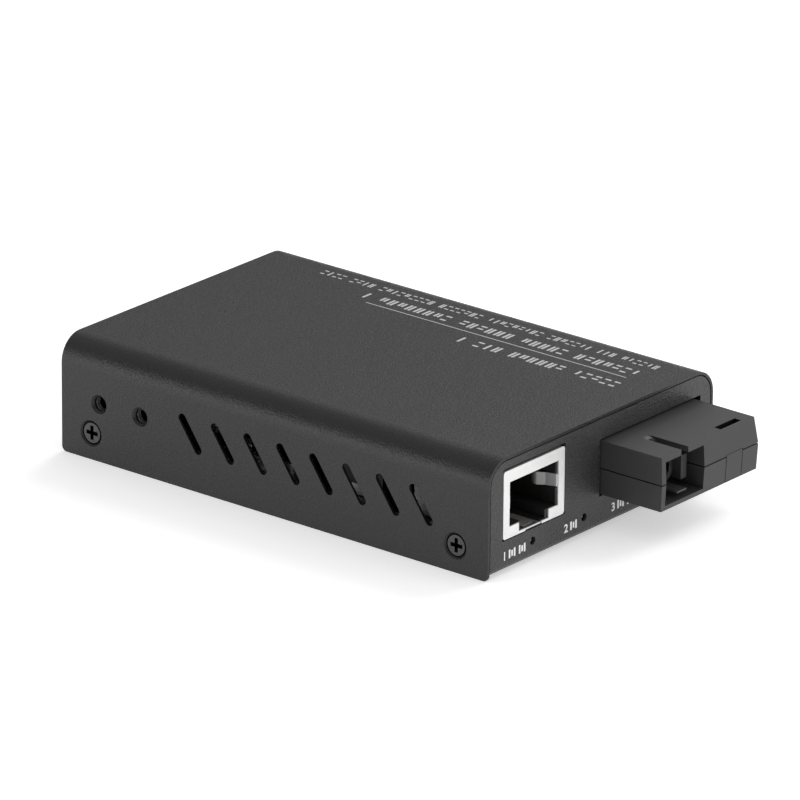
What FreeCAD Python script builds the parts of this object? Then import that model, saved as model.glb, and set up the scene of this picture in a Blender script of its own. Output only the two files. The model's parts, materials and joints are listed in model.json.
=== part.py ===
import FreeCAD, Part
import math
import os

# Fibre media converter: a small folded-steel box with a shielded RJ45 jack, three status lamps and a
# single-fibre SC transceiver in its front panel, and a DC power jack in its rear panel.
# Frame, in millimetres: +Z up, the ports face -Y, X runs across the width. The origin is the centre of
# the bottom of the whole part's bounding box. Distances called "depth" are counted from the cover's
# front edge towards the rear.

V = FreeCAD.Vector

# ---- driving dimensions: casing ----
WIDTH = 60.0                # across the cover
DEPTH = 92.0                # cover, front edge to rear edge
HEIGHT = 20.5               # cover, lower edge to top face
SHEET = 0.5                 # steel sheet of cover and tray
BEND_RADIUS = 4.6           # outer radius of the cover's two long bends
COVER_CORNER = 1.0          # rounding of the cover sides' lower corners
COVER_GAP = 0.2             # hairline gap between cover and tray
PANEL_INSET = 0.05          # panels lie this far inside the cover's ends
TRAY_LIFT = 0.6             # tray floor's underside above the cover's lower edge
TRAY_BEND = 1.2             # outer radius of the tray's bends
RELIEF = 1.4                # corner relief cut where two tray bends meet
FLANGE_LOW = 2.6            # height of the low stretch of the side flanges above the tray's underside
TAB_RISE = 2.6              # top of the screw tabs above the screws' axes
TAB_LENGTH = 11.0           # length of each screw tab along the side
TAB_CORNER = 1.5            # rounding of the screw tabs

# ---- cover: vents and tapped holes, the same on both sides ----
SLOT_PITCH = 7.08
SLOT_WIDTH = 1.6
SLOT_TOP = 12.45            # height of the slots' upper arc centres
SLOT_BOTTOM = 7.55          # height of the slots' lower arc centres
SLOT_SLANT = 3.45           # the lower end lies this far forward of the upper end
SLOT_REAR = 26.7            # from the rearmost slot's upper end to the cover's rear edge
SLOT_FRONT = 12.0           # the slots keep at least this far from the cover's front edge
SIDE_TAP_SETBACKS = (17.4, 8.3)   # from the cover's rear edge
SIDE_TAP_HEIGHT = 10.3
SIDE_TAP_R = 1.3            # tapping bore of an M3 thread
SIDE_TAP_RIM = 0.4          # chamfered rim of the hole
COLLAR_DEPTH = 1.4          # drawn collar behind the sheet
COLLAR_WALL = 0.75

# ---- screws ----
COVER_SCREW_FRONT = 6.8     # front pair, from the cover's front edge
COVER_SCREW_REAR = 6.5      # rear pair, from the cover's rear edge
COVER_SCREW_HEIGHT = 4.7
COVER_SCREW_HEAD_R = 2.05
COVER_SCREW_R = 1.2
COVER_SCREW_LENGTH = 3.5    # countersunk, over all
COVER_SCREW_SUNK = 0.25     # head below the cover's surface
SCREW_TIP = 0.3             # chamfer at the screws' ends
SCREW_CLEARANCE = 0.05
BOARD_SCREW_HEAD_R = 2.3
BOARD_SCREW_HEAD_H = 1.5
BOARD_SCREW_R = 1.2
BOARD_SCREW_END_GAP = 0.8   # from the screw's end to the bottom of its bore
STANDOFF_R = 2.1
STANDOFF_FOOT_R = 2.7       # clinched foot, flush in the tray floor
RECESS_WIDTH = 0.7          # arms of the cross recess
RECESS_REACH = 1.3          # arm length from the screw's axis
RECESS_DEPTH = 0.8
RECESS_POINT = 0.45         # arm length at the bottom of the recess

# ---- main board ----
BOARD_TOP = 6.1
BOARD_THICK = 1.6
BOARD_SIDE_GAP = 1.6        # from the tray's side flanges
BOARD_END_GAP = 0.6         # from the end panels
BOARD_CORNER = 0.8
BOARD_NOTCH_GAP = 0.7       # round notches clear the cover screws by this
BOARD_HOLE_INSET = 4.6      # fixing holes from the board's sides
BOARD_HOLE_FRONT = 46.0     # front fixing holes from the cover's front edge
BOARD_HOLE_REAR = 9.5       # rear fixing holes from the cover's rear edge
PIN_CLEARANCE = 0.15        # board hole radius beyond a pin's half width

# ---- RJ45 jack ----
JACK_INSET = 11.3           # the jack's middle from the tray's left side
JACK_WIDTH = 16.0
JACK_HEADROOM = 2.05        # from the shield's top to the cover
JACK_DEPTH = 18.6
JACK_FRONT = 0.05           # depth of the shield's face
JACK_SHEET = 0.25
JACK_CORNER = 0.5           # rounding of the shield's long edges
JACK_CLEARANCE = 0.05       # housing inside the shield
JACK_OPEN_SIDE = 1.6        # shield beside the opening
JACK_OPEN_TOP = 2.1         # shield above the opening
JACK_OPEN_LOW = 1.95        # opening's lower edge above the board
JACK_NOTCH_HALF = 3.9       # notch for the plug's latch
JACK_NOTCH_LOW = 0.42
JACK_LIP_GAP_HALF = 2.15    # the shield's lower lip is open here
JACK_LIP_LENGTH = 2.6       # shield's floor, to both sides of its tongue
JACK_TONGUE_HALF = 2.0      # tongue of the shield's floor, seen in the latch notch
JACK_TONGUE_LENGTH = 6.6
JACK_TONGUE_SLOT = (0.6, 1.35)    # slot across the tongue, behind the shield's face
JACK_TONGUE_EDGE = 0.4      # tongue beside its slot
JACK_CAVITY_SIDE = 0.45     # the housing's cavity inside the shield's opening
JACK_CAVITY_TOP = 0.15
JACK_CAVITY_LOW = 2.0
JACK_CAVITY_DEPTH = 12.4
JACK_LATCH_HALF = 3.2       # latch groove in the cavity's floor
JACK_LATCH_LOW = 0.55
FINGER_LOW = 5.15           # side contact fingers, height above the board
FINGER_HEIGHT = 2.2
FINGER_PATH = ((0.0, 0.0), (0.75, 2.2), (1.75, 3.8), (1.0, 4.9))   # inward and rearward
FINGER_BEND = 0.7
FINGER_SPACE = 0.5          # room for the finger in the housing
CONTACT_COUNT = 8
CONTACT_PITCH = 1.02
CONTACT_WIDTH = 0.4
CONTACT_THICK = 0.25
CONTACT_LEG_SETBACK = 1.2   # legs in front of the shield's rear wall
CONTACT_ROOF = 0.5          # contacts' roof run above the cavity
CONTACT_START = 3.2         # front end of the roof run behind the shield's face
CONTACT_TURN = 0.5          # bend from the roof run into the spring
CONTACT_TIP = 9.6           # spring tip behind the shield's face
CONTACT_DROP = 2.6          # spring tip below the cavity's roof
CONTACT_GROOVE = 2.0        # grooves start this far behind the housing's face
JACK_CUTOUT_SIDE = 0.2      # panel cutout round the shield
JACK_CUTOUT_TOP = 0.5
SHIELD_LEG_DEPTH = 9.5
SHIELD_LEG_WIDTH = 1.4
LEG_BELOW_BOARD = 1.2       # how far legs and pins stand out below the board

# ---- fibre transceiver ----
OPTIC_INSET = 16.5          # its middle from the tray's right side
OPTIC_WIDTH = 26.2
OPTIC_LIFT = 0.35           # underside above the board
OPTIC_HEIGHT = 9.5
OPTIC_SPLIT_RISE = 4.65     # parting line and fibre axis above the underside
OPTIC_REACH = 12.65         # in front of the cover
OPTIC_INSIDE = 36.5         # behind the cover's front edge
OPTIC_WALL = 1.2
OPTIC_LEAN = 0.25           # mould draft of front and sides over each half's height
OPTIC_END_LEAN = 0.4        # upper half's outer end leans in further
OPTIC_END_TAPER = 0.6       # and this much more at the front
PARTING_GROOVE = 0.22
PARTING_DEPTH = 0.35
OPTIC_CUTOUT_GAP = 0.3      # panel cutout round the transceiver
OPTIC_CUTOUT_END = 0.65     # at its outer end
PORT_INSET = 6.3            # port's middle from the transceiver's left end
PORT_WIDTH = 10.3
PORT_HEIGHT = 7.7
PORT_DEPTH = 9.0
PORT_BACK_WALL = 1.0
KEY_WIDTH = 1.9             # key slot in the port's roof
KEY_LENGTH = 7.5
KEY_RUNOUT = 0.9            # shallow run-out behind the slot
KEY_RUNOUT_DEPTH = 0.35
KEY_CORNER = 0.8
TONGUE_INSET = 6.5          # snap tongue's middle from the transceiver's right end
TONGUE_WIDTH = 4.4
TONGUE_SLIT = 0.15
TONGUE_SLIT_DEPTH = 0.4
TONGUE_RISE = 0.3
TONGUE_DRAFT = 0.02         # tongue's face behind the shell's
TONGUE_ROOT = 1.0           # stretch of the tongue below the parting line that is made again
WINDOW_WIDTH = 5.6          # window over the tongue in the upper half's roof
WINDOW_LENGTH = 1.4
WINDOW_SETBACK = 0.65
LATCH_HEAD_SPACING = 5.1    # between the inner faces of the two latch heads
LATCH_HEAD_THICK = 1.5
LATCH_HEAD_LENGTH = 3.2
LATCH_HEAD_SLOPE = 0.6      # slanted back of the heads
LATCH_THICK = 0.6           # latch arms behind the heads
LATCH_HEIGHT = 4.2
LATCH_TIP = 2.9             # heads behind the port's mouth
LATCH_PLATE = 0.8
LATCH_PLATE_DROP = 0.4      # plate's top below the port's roof
LATCH_BASE_WIDTH = 2.5
LATCH_BASE_TIP = 0.7
LATCH_BASE_HEIGHT = 1.25    # base tongue's upper face above the port's floor
LATCH_BASE_THICK = 0.3
FERRULE_BORE_R = 1.26
FERRULE_BORE_LEAD = 0.2     # chamfer at the mouth of the bore
NOSE_R = 2.0
NOSE_TIP = 4.2              # receptacle's mouth behind the port's mouth
NOSE_CLEARANCE = 0.1
FERRULE_BORE_DEPTH = 6.5
RECEPTACLE_FLANGE_R = 3.2
RECEPTACLE_FLANGE = 1.0
BARREL_R = 3.0
BARREL_LENGTH = 9.5
CAN_R = 2.7
CAN_FLANGE_R = 2.95
CAN_LENGTH = 3.6
CAN_FLANGE = 0.9
SIDE_CAN_R = 2.3
SIDE_CAN_AT = 5.0           # side can's axis behind the barrel's front
CAN_LEAD_R = 0.23
CAN_LEAD_CIRCLE = 1.27
CAN_LEAD_LENGTH = 3.0
CAN_LEAD_COUNT = 3
CAN_SEAT = 0.3              # flat of the barrel under the side can, out from the barrel
OPTIC_BOARD_RISE = 1.95     # above the transceiver's underside
OPTIC_BOARD_THICK = 0.8
OPTIC_BOARD_LENGTH = 14.0
OPTIC_BOARD_GAP = 0.3
OPTIC_PIN_COUNT = 9
OPTIC_PIN_PITCH = 2.54
OPTIC_PIN_SIZE = 0.46
OPTIC_PIN_DEPTH = 32.0
OPTIC_PIN_STUB = 0.6        # pins above the inner board
OPTIC_PIN_SLOT = 2.4        # slot in the lower half round the row of pins
OPTIC_REST = 2.0            # square rests under the rear corners
OPTIC_REST_SETBACK = 0.5
OPTIC_POST_R = 0.9
OPTIC_POST_OFFSET = 20.32   # posts in front of the pins, and apart

# ---- status lamps ----
LAMP_COUNT = 3
LAMP_INSET = 11.1           # first lamp from the tray's left side
LAMP_PITCH = 13.6
LAMP_HEIGHT = 1.5
LAMP_WIDTH = 3.0
LAMP_LENGTH = 1.6
LAMP_LENS_R = 0.6
LAMP_LENS_CHAMFER = 0.25
LAMP_HOLE_R = 0.7
LAMP_FRONT_GAP = 0.7        # lamp body behind the panel

# ---- DC power jack ----
DC_INSET = 17.3             # its middle from the tray's right side
DC_WIDTH = 9.0
DC_CORNER = 1.2
DC_BODY_HEIGHT = 10.8
DC_AXIS_HEIGHT = 6.3        # above the board
DC_LENGTH = 14.0            # over all
DC_NOSE_R = 4.1
DC_NOSE_LENGTH = 2.6
DC_NOSE_GAP = 0.15          # panel hole round the nose
DC_BORE_R = 3.2
DC_BORE_DEPTH = 10.5
DC_PIN_R = 1.0
DC_PIN_RECESS = 1.2
DC_PIN_CHAMFER = 0.5
DC_SPRING_THICK = 0.3
DC_SPRING_SLOPE = 1.2       # from the spring's leg to its raised belly
DC_SPRING_RISE = 0.3        # belly above the bore's wall
DC_SPRING_SINK = 0.4        # leg's upper end below the bore's wall
DC_SPRING_END = 1.6         # spring's end behind the nose
DC_SLOT_CLEARANCE = 0.1
DC_SLOT_WALL = 1.0          # wall in front of the spring's slot
DC_SLOT_RISE = 0.6          # slot above the bore's wall
DC_LEG_WIDTH = 2.0

# ---- parts on the board: (x, depth) of each centre ----
TRANSFORMER_DEPTH = 31.0    # it stands in line with the jack
TRANSFORMER_SIZE = (15.2, 10.6, 5.4)
TRANSFORMER_LEAD_COUNT = 12
TRANSFORMER_PITCH = 1.02
TRANSFORMER_LEAD = 0.45
MAIN_CHIP_AT = (-3.5, 51.0)
MAIN_CHIP_SIZE = (12.0, 12.0, 1.2)
MAIN_CHIP_LEAD_COUNT = 12
MAIN_CHIP_PITCH = 0.8
MAIN_CHIP_LEAD = 0.3
MEMORY_CHIP_AT = (-18.0, 60.0)
MEMORY_CHIP_SIZE = (4.9, 3.9, 1.4)
MEMORY_CHIP_LEAD_COUNT = 4
MEMORY_CHIP_PITCH = 1.27
MEMORY_CHIP_LEAD = 0.42
CHIP_LIFT = 0.1             # air under a leaded chip's body
LEAD_REACH = 1.1
LEAD_THICK = 0.18
LEAD_ROOT = 0.3             # stretch of a lead inside the body
CRYSTAL_AT = (-18.0, 53.0)
CRYSTAL_LENGTH = 11.2
CRYSTAL_WIDTH = 4.6
CRYSTAL_HEIGHT = 3.6
CRYSTAL_BASE = 0.7
CRYSTAL_RIM = 0.3           # base beyond the can
CAPACITOR_AT = ((-8.0, 71.5), (17.5, 63.0), (-18.0, 67.0))
CAPACITOR_R = 3.15
CAPACITOR_HEIGHT = 7.2
CAPACITOR_BASE = 6.6
CAPACITOR_BASE_THICK = 0.9
CAPACITOR_BASE_CUT = 1.0    # cut corners of the base
CAPACITOR_NECK = 0.9        # rolled neck above the base
CAPACITOR_NECK_DEPTH = 0.25
CAPACITOR_CHAMFER = 0.4
INDUCTOR_AT = (3.0, 71.0)
INDUCTOR_SIZE = 7.0
INDUCTOR_HEIGHT = 4.0
INDUCTOR_CORNER = 1.0
INDUCTOR_RING = (2.3, 2.95)       # inner and outer radius of the groove in its top
INDUCTOR_RING_DEPTH = 0.4
REGULATOR_AT = (8.5, 60.0)
REGULATOR_SIZE = (6.5, 3.5, 1.6)
REGULATOR_PITCH = 2.3
REGULATOR_LEAD = 0.7
REGULATOR_TAB = 3.0
DIODE_AT = (20.5, 56.5)
DIODE_SIZE = (4.3, 2.6, 2.0)
DIODE_LEAD = (1.2, 1.5, 0.9)
DIODE_LEAD_OUT = 2.0        # leads' middles from the diode's middle
RESISTOR_SIZE = (1.6, 0.8, 0.5)
RESISTOR_AT = (-9.5, 42.0)  # first of the row
RESISTOR_COUNT = 7
CHIP_CAP_SIZE = (2.0, 1.25, 0.9)
CHIP_CAP_AT = (-9.5, 60.5)
CHIP_CAP_COUNT = 5
CHIP_ROW_PITCH = 2.6

# ---- worked-out places ----
FRONT_Y = -(DEPTH - OPTIC_REACH) / 2
REAR_Y = FRONT_Y + DEPTH
TRAY_HALF = WIDTH / 2 - SHEET - COVER_GAP
SLOT_COUNT = 1 + int((DEPTH - SLOT_REAR - SLOT_SLANT - SLOT_FRONT) // SLOT_PITCH)
PANEL_TOP = HEIGHT - SHEET - COVER_GAP
PANEL_FRONT = FRONT_Y + PANEL_INSET
PANEL_REAR = REAR_Y - PANEL_INSET
PANEL_CORNER = BEND_RADIUS - SHEET - COVER_GAP
FLOOR_TOP = TRAY_LIFT + SHEET
BOARD_BOTTOM = BOARD_TOP - BOARD_THICK
BOARD_HALF = TRAY_HALF - SHEET - BOARD_SIDE_GAP
BOARD_FRONT = PANEL_FRONT + SHEET + BOARD_END_GAP
BOARD_REAR = PANEL_REAR - SHEET - BOARD_END_GAP
LEG_BOTTOM = BOARD_BOTTOM - LEG_BELOW_BOARD
JACK_X = -TRAY_HALF + JACK_INSET
JACK_TOP = HEIGHT - SHEET - JACK_HEADROOM
JACK_OPEN_HALF = JACK_WIDTH / 2 - JACK_OPEN_SIDE
JACK_OPEN_HIGH = JACK_TOP - BOARD_TOP - JACK_OPEN_TOP
JACK_CAVITY_HALF = JACK_OPEN_HALF - JACK_CAVITY_SIDE
JACK_CAVITY_HIGH = JACK_OPEN_HIGH - JACK_CAVITY_TOP
OPTIC_X = TRAY_HALF - OPTIC_INSET
OPTIC_BOTTOM = BOARD_TOP + OPTIC_LIFT
OPTIC_SPLIT = OPTIC_BOTTOM + OPTIC_SPLIT_RISE
OPTIC_TOP = OPTIC_BOTTOM + OPTIC_HEIGHT
OPTIC_LEFT = OPTIC_X - OPTIC_WIDTH / 2
OPTIC_RIGHT = OPTIC_X + OPTIC_WIDTH / 2
OPTIC_FRONT = FRONT_Y - OPTIC_REACH
OPTIC_REAR = FRONT_Y + OPTIC_INSIDE
OPTIC_BOARD_Z = OPTIC_BOTTOM + OPTIC_BOARD_RISE
TONGUE_X = OPTIC_RIGHT - TONGUE_INSET
PORT_X = OPTIC_LEFT + PORT_INSET
PORT_LEFT = PORT_X - PORT_WIDTH / 2
PORT_RIGHT = PORT_X + PORT_WIDTH / 2
PORT_FLOOR = OPTIC_SPLIT - PORT_HEIGHT / 2
PORT_ROOF = OPTIC_SPLIT + PORT_HEIGHT / 2
PORT_BACK = OPTIC_FRONT + PORT_DEPTH
CAVITY_START = PORT_BACK + PORT_BACK_WALL
LAMP_XS = [-TRAY_HALF + LAMP_INSET + i * LAMP_PITCH for i in range(LAMP_COUNT)]
DC_X = TRAY_HALF - DC_INSET
DC_AXIS_Z = BOARD_TOP + DC_AXIS_HEIGHT
CUT_PAST = 1.0              # how far cutting tools run past a face


# ---- helpers ----
def block(xs, ys, zs):
    """Box between pairs of low and high values."""
    return Part.makeBox(xs[1] - xs[0], ys[1] - ys[0], zs[1] - zs[0], V(xs[0], ys[0], zs[0]))


def about(centre, size):
    """Low and high value of a size centred on a value."""
    return (centre - size / 2, centre + size / 2)


def outline(corners):
    """Face bounded by straight edges; each corner is a point and its rounding radius."""
    turns = []
    for i, (point, radius) in enumerate(corners):
        before = (corners[i - 1][0] - point).normalize()
        after = (corners[(i + 1) % len(corners)][0] - point).normalize()
        if radius > 0:
            half = before.getAngle(after) / 2
            reach = radius / math.tan(half)
            middle = point + (before + after).normalize() * (radius / math.sin(half) - radius)
            turns.append((point + before * reach, middle, point + after * reach))
        else:
            turns.append((point, None, point))
    edges = []
    for i, (start, middle, end) in enumerate(turns):
        if middle is not None:
            edges.append(Part.Arc(start, middle, end).toShape())
        following = turns[(i + 1) % len(turns)][0]
        if end.distanceToPoint(following) > 1e-6:
            edges.append(Part.LineSegment(end, following).toShape())
    return Part.Face(Part.Wire(edges))


def across_x(points, xs):
    """Prism along X from (y, z, radius) corners."""
    return outline([(V(xs[0], y, z), r) for y, z, r in points]).extrude(V(xs[1] - xs[0], 0, 0))


def along_y(points, ys):
    """Prism along Y from (x, z, radius) corners."""
    return outline([(V(x, ys[0], z), r) for x, z, r in points]).extrude(V(0, ys[1] - ys[0], 0))


def up_z(points, zs):
    """Prism along Z from (x, y, radius) corners."""
    return outline([(V(x, y, zs[0]), r) for x, y, r in points]).extrude(V(0, 0, zs[1] - zs[0]))


def rectangle(a, b, radius):
    """Corner list of a rectangle between two pairs of values."""
    return [(a[0], b[0], radius), (a[1], b[0], radius), (a[1], b[1], radius), (a[0], b[1], radius)]


def strip(path, thickness, bend=None):
    """Corner list of a thin strip along a centre path of (a, b) points; bend is its turns' centre radius."""
    left = []
    right = []
    for i, (a, b) in enumerate(path):
        legs = [V(*path[k + 1], 0) - V(*path[k], 0) for k in (i - 1, i) if 0 <= k < len(path) - 1]
        units = [leg.normalize() for leg in legs]
        mean = (units[0] + units[-1]).normalize()
        offset = thickness / 2 / mean.dot(units[0])
        radii = (0, 0)
        if bend is not None and len(legs) == 2:
            inner = math.copysign(thickness / 2, units[0].cross(units[1]).z)
            radii = (bend - inner, bend + inner)
        left.append((a - mean.y * offset, b + mean.x * offset, radii[0]))
        right.append((a + mean.y * offset, b - mean.x * offset, radii[1]))
    return left + right[::-1]


def placed(shape, origin, axis):
    """The shape moved to an origin with its own Z turned to an axis."""
    shape.Placement = FreeCAD.Placement(origin, FreeCAD.Rotation(V(0, 0, 1), axis))
    return shape


def turned(points, origin, axis):
    """Solid of revolution from (radius, height, rounding) corners, placed with its axis at origin."""
    profile = outline([(V(r, 0, h), rounding) for r, h, rounding in points])
    return placed(profile.revolve(V(0, 0, 0), V(0, 0, 1), 360), origin, axis)


def rod(radius, origin, axis, length):
    """Cylinder from an end centre along an axis."""
    return Part.makeCylinder(radius, length, origin, axis)


def joined(first, others):
    """One solid from touching or overlapping solids."""
    return first.multiFuse(others).removeSplitter()


def cross_recess(origin, axis):
    """Tapered cross recess, cut down from origin against the axis."""
    arms = []
    for swap in (False, True):
        section = [(-RECESS_REACH, CUT_PAST), (RECESS_REACH, CUT_PAST), (RECESS_REACH, 0),
                   (RECESS_POINT, -RECESS_DEPTH), (-RECESS_POINT, -RECESS_DEPTH), (-RECESS_REACH, 0)]
        half = RECESS_WIDTH / 2
        if swap:
            arms.append(across_x([(a, h, 0) for a, h in section], (-half, half)))
        else:
            arms.append(along_y([(a, h, 0) for a, h in section], (-half, half)))
    return placed(joined(arms[0], arms[1:]), origin, axis)


# ---- casing ----
def side_tap_points():
    """Outer face centres and outward directions of the tapped holes in the cover's sides."""
    return [(V(side * WIDTH / 2, FRONT_Y + depth, SIDE_TAP_HEIGHT), V(side, 0, 0))
            for side in (-1, 1) for depth in [DEPTH - setback for setback in SIDE_TAP_SETBACKS]]


def cover_screw_points():
    """Outer face centres and outward directions of the cover screws."""
    return [(V(side * WIDTH / 2, FRONT_Y + depth, COVER_SCREW_HEIGHT), V(side, 0, 0))
            for side in (-1, 1) for depth in (COVER_SCREW_FRONT, DEPTH - COVER_SCREW_REAR)]


def vent_slots():
    """Slanted round-ended slots through both sides of the cover."""
    lean = math.atan2(SLOT_SLANT, SLOT_TOP - SLOT_BOTTOM)
    half = SLOT_WIDTH / 2
    across = (half * math.cos(lean), half * math.sin(lean))
    along = (half * math.sin(lean), half * math.cos(lean))
    slots = []
    for i in range(SLOT_COUNT):
        top = REAR_Y - SLOT_REAR - i * SLOT_PITCH
        bottom = top - SLOT_SLANT
        ends = [(bottom, SLOT_BOTTOM, -1), (top, SLOT_TOP, 1)]
        edges = []
        for y, z, way in ends:
            edges.append(Part.Arc(V(0, y - way * across[0], z + way * across[1]),
                                  V(0, y + way * along[0], z + way * along[1]),
                                  V(0, y + way * across[0], z - way * across[1])).toShape())
        for way in (-1, 1):
            edges.append(Part.LineSegment(V(0, bottom + way * across[0], SLOT_BOTTOM - way * across[1]),
                                          V(0, top + way * across[0], SLOT_TOP - way * across[1])).toShape())
        face = Part.Face(Part.Wire(Part.__sortEdges__(edges)))
        for side in (-1, 1):
            start = face.translated(V(side * (WIDTH / 2 + CUT_PAST), 0, 0))
            slots.append(start.extrude(V(-side * (SHEET + 2 * CUT_PAST), 0, 0)))
    return slots


def make_top_cover():
    half = WIDTH / 2
    inner = half - SHEET
    section = [(-half, 0, 0), (-half, HEIGHT, BEND_RADIUS), (half, HEIGHT, BEND_RADIUS), (half, 0, 0),
               (inner, 0, 0), (inner, HEIGHT - SHEET, BEND_RADIUS - SHEET),
               (-inner, HEIGHT - SHEET, BEND_RADIUS - SHEET), (-inner, 0, 0)]
    cover = along_y(section, (FRONT_Y, REAR_Y))
    side_outline = [(FRONT_Y, 0, COVER_CORNER), (REAR_Y, 0, COVER_CORNER),
                    (REAR_Y, HEIGHT + CUT_PAST, 0), (FRONT_Y, HEIGHT + CUT_PAST, 0)]
    cover = cover.common(across_x(side_outline, (-half - CUT_PAST, half + CUT_PAST)))
    collars = []
    holes = vent_slots()
    for origin, axis in side_tap_points():
        outer = SIDE_TAP_R + COLLAR_WALL
        back = -SHEET - COLLAR_DEPTH
        ring = rectangle((SIDE_TAP_R, outer), (back, -SHEET / 2), 0)
        collars.append(turned(ring, origin, axis))
        mouth = SIDE_TAP_R + SIDE_TAP_RIM + CUT_PAST
        bore = [(0, CUT_PAST, 0), (mouth, CUT_PAST, 0), (SIDE_TAP_R, -SIDE_TAP_RIM, 0),
                (SIDE_TAP_R, back - CUT_PAST, 0), (0, back - CUT_PAST, 0)]
        holes.append(turned(bore, origin, axis))
    for origin, axis in cover_screw_points():
        rim = COVER_SCREW_HEAD_R + COVER_SCREW_SUNK + SCREW_CLEARANCE
        sink = [(0, CUT_PAST, 0), (rim, CUT_PAST, 0), (rim, 0, 0), (rim - SHEET, -SHEET, 0),
                (rim - SHEET, -SHEET - CUT_PAST, 0), (0, -SHEET - CUT_PAST, 0)]
        holes.append(turned(sink, origin, axis))
    return joined(cover, collars).cut(holes)


def end_panels():
    """Front panel, floor strip and rear panel, folded up from one strip."""
    low = TRAY_LIFT
    section = [(PANEL_FRONT, PANEL_TOP, 0), (PANEL_FRONT, low, TRAY_BEND), (PANEL_REAR, low, TRAY_BEND),
               (PANEL_REAR, PANEL_TOP, 0), (PANEL_REAR - SHEET, PANEL_TOP, 0),
               (PANEL_REAR - SHEET, FLOOR_TOP, TRAY_BEND - SHEET),
               (PANEL_FRONT + SHEET, FLOOR_TOP, TRAY_BEND - SHEET), (PANEL_FRONT + SHEET, PANEL_TOP, 0)]
    panels = across_x(section, (-TRAY_HALF, TRAY_HALF))
    face = [(-TRAY_HALF, low, 0), (TRAY_HALF, low, 0), (TRAY_HALF, PANEL_TOP, PANEL_CORNER),
            (-TRAY_HALF, PANEL_TOP, PANEL_CORNER)]
    return panels.common(along_y(face, (PANEL_FRONT, PANEL_REAR)))


def make_base_tray():
    inner = TRAY_HALF - SHEET
    tray = end_panels()
    bend_ends = (PANEL_FRONT + TRAY_BEND, PANEL_REAR - TRAY_BEND)
    flange_ends = (bend_ends[0] + RELIEF, bend_ends[1] - RELIEF)
    for side in (-1, 1):
        xs = sorted((side * (TRAY_HALF - TRAY_BEND - RELIEF), side * (TRAY_HALF + CUT_PAST)))
        tray = tray.cut(block(xs, bend_ends, (0, FLOOR_TOP + CUT_PAST)))
    tab_top = COVER_SCREW_HEIGHT + TAB_RISE
    section = [(-TRAY_HALF, tab_top, 0), (-TRAY_HALF, TRAY_LIFT, TRAY_BEND),
               (TRAY_HALF, TRAY_LIFT, TRAY_BEND), (TRAY_HALF, tab_top, 0),
               (inner, tab_top, 0), (inner, FLOOR_TOP, TRAY_BEND - SHEET),
               (-inner, FLOOR_TOP, TRAY_BEND - SHEET), (-inner, tab_top, 0)]
    flanges = along_y(section, flange_ends)
    low = TRAY_LIFT + FLANGE_LOW
    front_tab = flange_ends[0] + TAB_LENGTH
    rear_tab = flange_ends[1] - TAB_LENGTH
    side_shape = [(flange_ends[0], 0, 0), (flange_ends[1], 0, 0), (flange_ends[1], tab_top, TAB_CORNER),
                  (rear_tab, tab_top, TAB_CORNER), (rear_tab, low, TAB_CORNER), (front_tab, low, TAB_CORNER),
                  (front_tab, tab_top, TAB_CORNER), (flange_ends[0], tab_top, TAB_CORNER)]
    flanges = flanges.common(across_x(side_shape, (-TRAY_HALF - CUT_PAST, TRAY_HALF + CUT_PAST)))
    collars = []
    holes = []
    hole_r = COVER_SCREW_R + SCREW_CLEARANCE
    to_flange = SHEET + COVER_GAP
    for origin, axis in cover_screw_points():
        back = -to_flange - SHEET - COLLAR_DEPTH
        outer = hole_r + COLLAR_WALL
        ring = rectangle((hole_r, outer), (back, -to_flange - SHEET / 2), 0)
        collars.append(turned(ring, origin, axis))
        mouth = COVER_SCREW_HEAD_R + COVER_SCREW_SUNK + SCREW_CLEARANCE - to_flange
        taper_end = -to_flange - (mouth - hole_r)
        bore = [(0, -SHEET, 0), (mouth, -SHEET, 0), (mouth, -to_flange, 0), (hole_r, taper_end, 0),
                (hole_r, back - CUT_PAST, 0), (0, back - CUT_PAST, 0)]
        holes.append(turned(bore, origin, axis))
    panel_cut = (PANEL_FRONT - CUT_PAST, PANEL_FRONT + SHEET + CUT_PAST)
    jack_xs = about(JACK_X, JACK_WIDTH + 2 * JACK_CUTOUT_SIDE)
    holes.append(block(jack_xs, panel_cut, (BOARD_TOP - JACK_CUTOUT_SIDE, JACK_TOP + JACK_CUTOUT_TOP)))
    holes.append(block((OPTIC_LEFT - OPTIC_CUTOUT_GAP, OPTIC_RIGHT + OPTIC_CUTOUT_END), panel_cut,
                       (OPTIC_BOTTOM - OPTIC_CUTOUT_GAP, OPTIC_TOP + OPTIC_CUTOUT_GAP)))
    for x in LAMP_XS:
        start = V(x, panel_cut[0], BOARD_BOTTOM - LAMP_HEIGHT / 2)
        holes.append(rod(LAMP_HOLE_R, start, V(0, 1, 0), panel_cut[1] - panel_cut[0]))
    start = V(DC_X, PANEL_REAR - SHEET - CUT_PAST, DC_AXIS_Z)
    holes.append(rod(DC_NOSE_R + DC_NOSE_GAP, start, V(0, 1, 0), SHEET + 2 * CUT_PAST))
    for x, y in board_hole_points():
        holes.append(rod(STANDOFF_FOOT_R, V(x, y, TRAY_LIFT - CUT_PAST), V(0, 0, 1), SHEET + 2 * CUT_PAST))
    return joined(tray, [flanges] + collars).cut(holes)


def make_cover_screws():
    solids = []
    for origin, axis in cover_screw_points():
        top = -COVER_SCREW_SUNK
        end = -COVER_SCREW_SUNK - COVER_SCREW_LENGTH
        taper = COVER_SCREW_HEAD_R - COVER_SCREW_R
        profile = [(0, top, 0), (COVER_SCREW_HEAD_R, top, 0), (COVER_SCREW_R, top - taper, 0),
                   (COVER_SCREW_R, end + SCREW_TIP, 0), (COVER_SCREW_R - SCREW_TIP, end, 0), (0, end, 0)]
        recess = cross_recess(origin + axis * top, axis)
        solids.append(turned(profile, origin, axis).cut(recess))
    return Part.makeCompound(solids)


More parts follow.
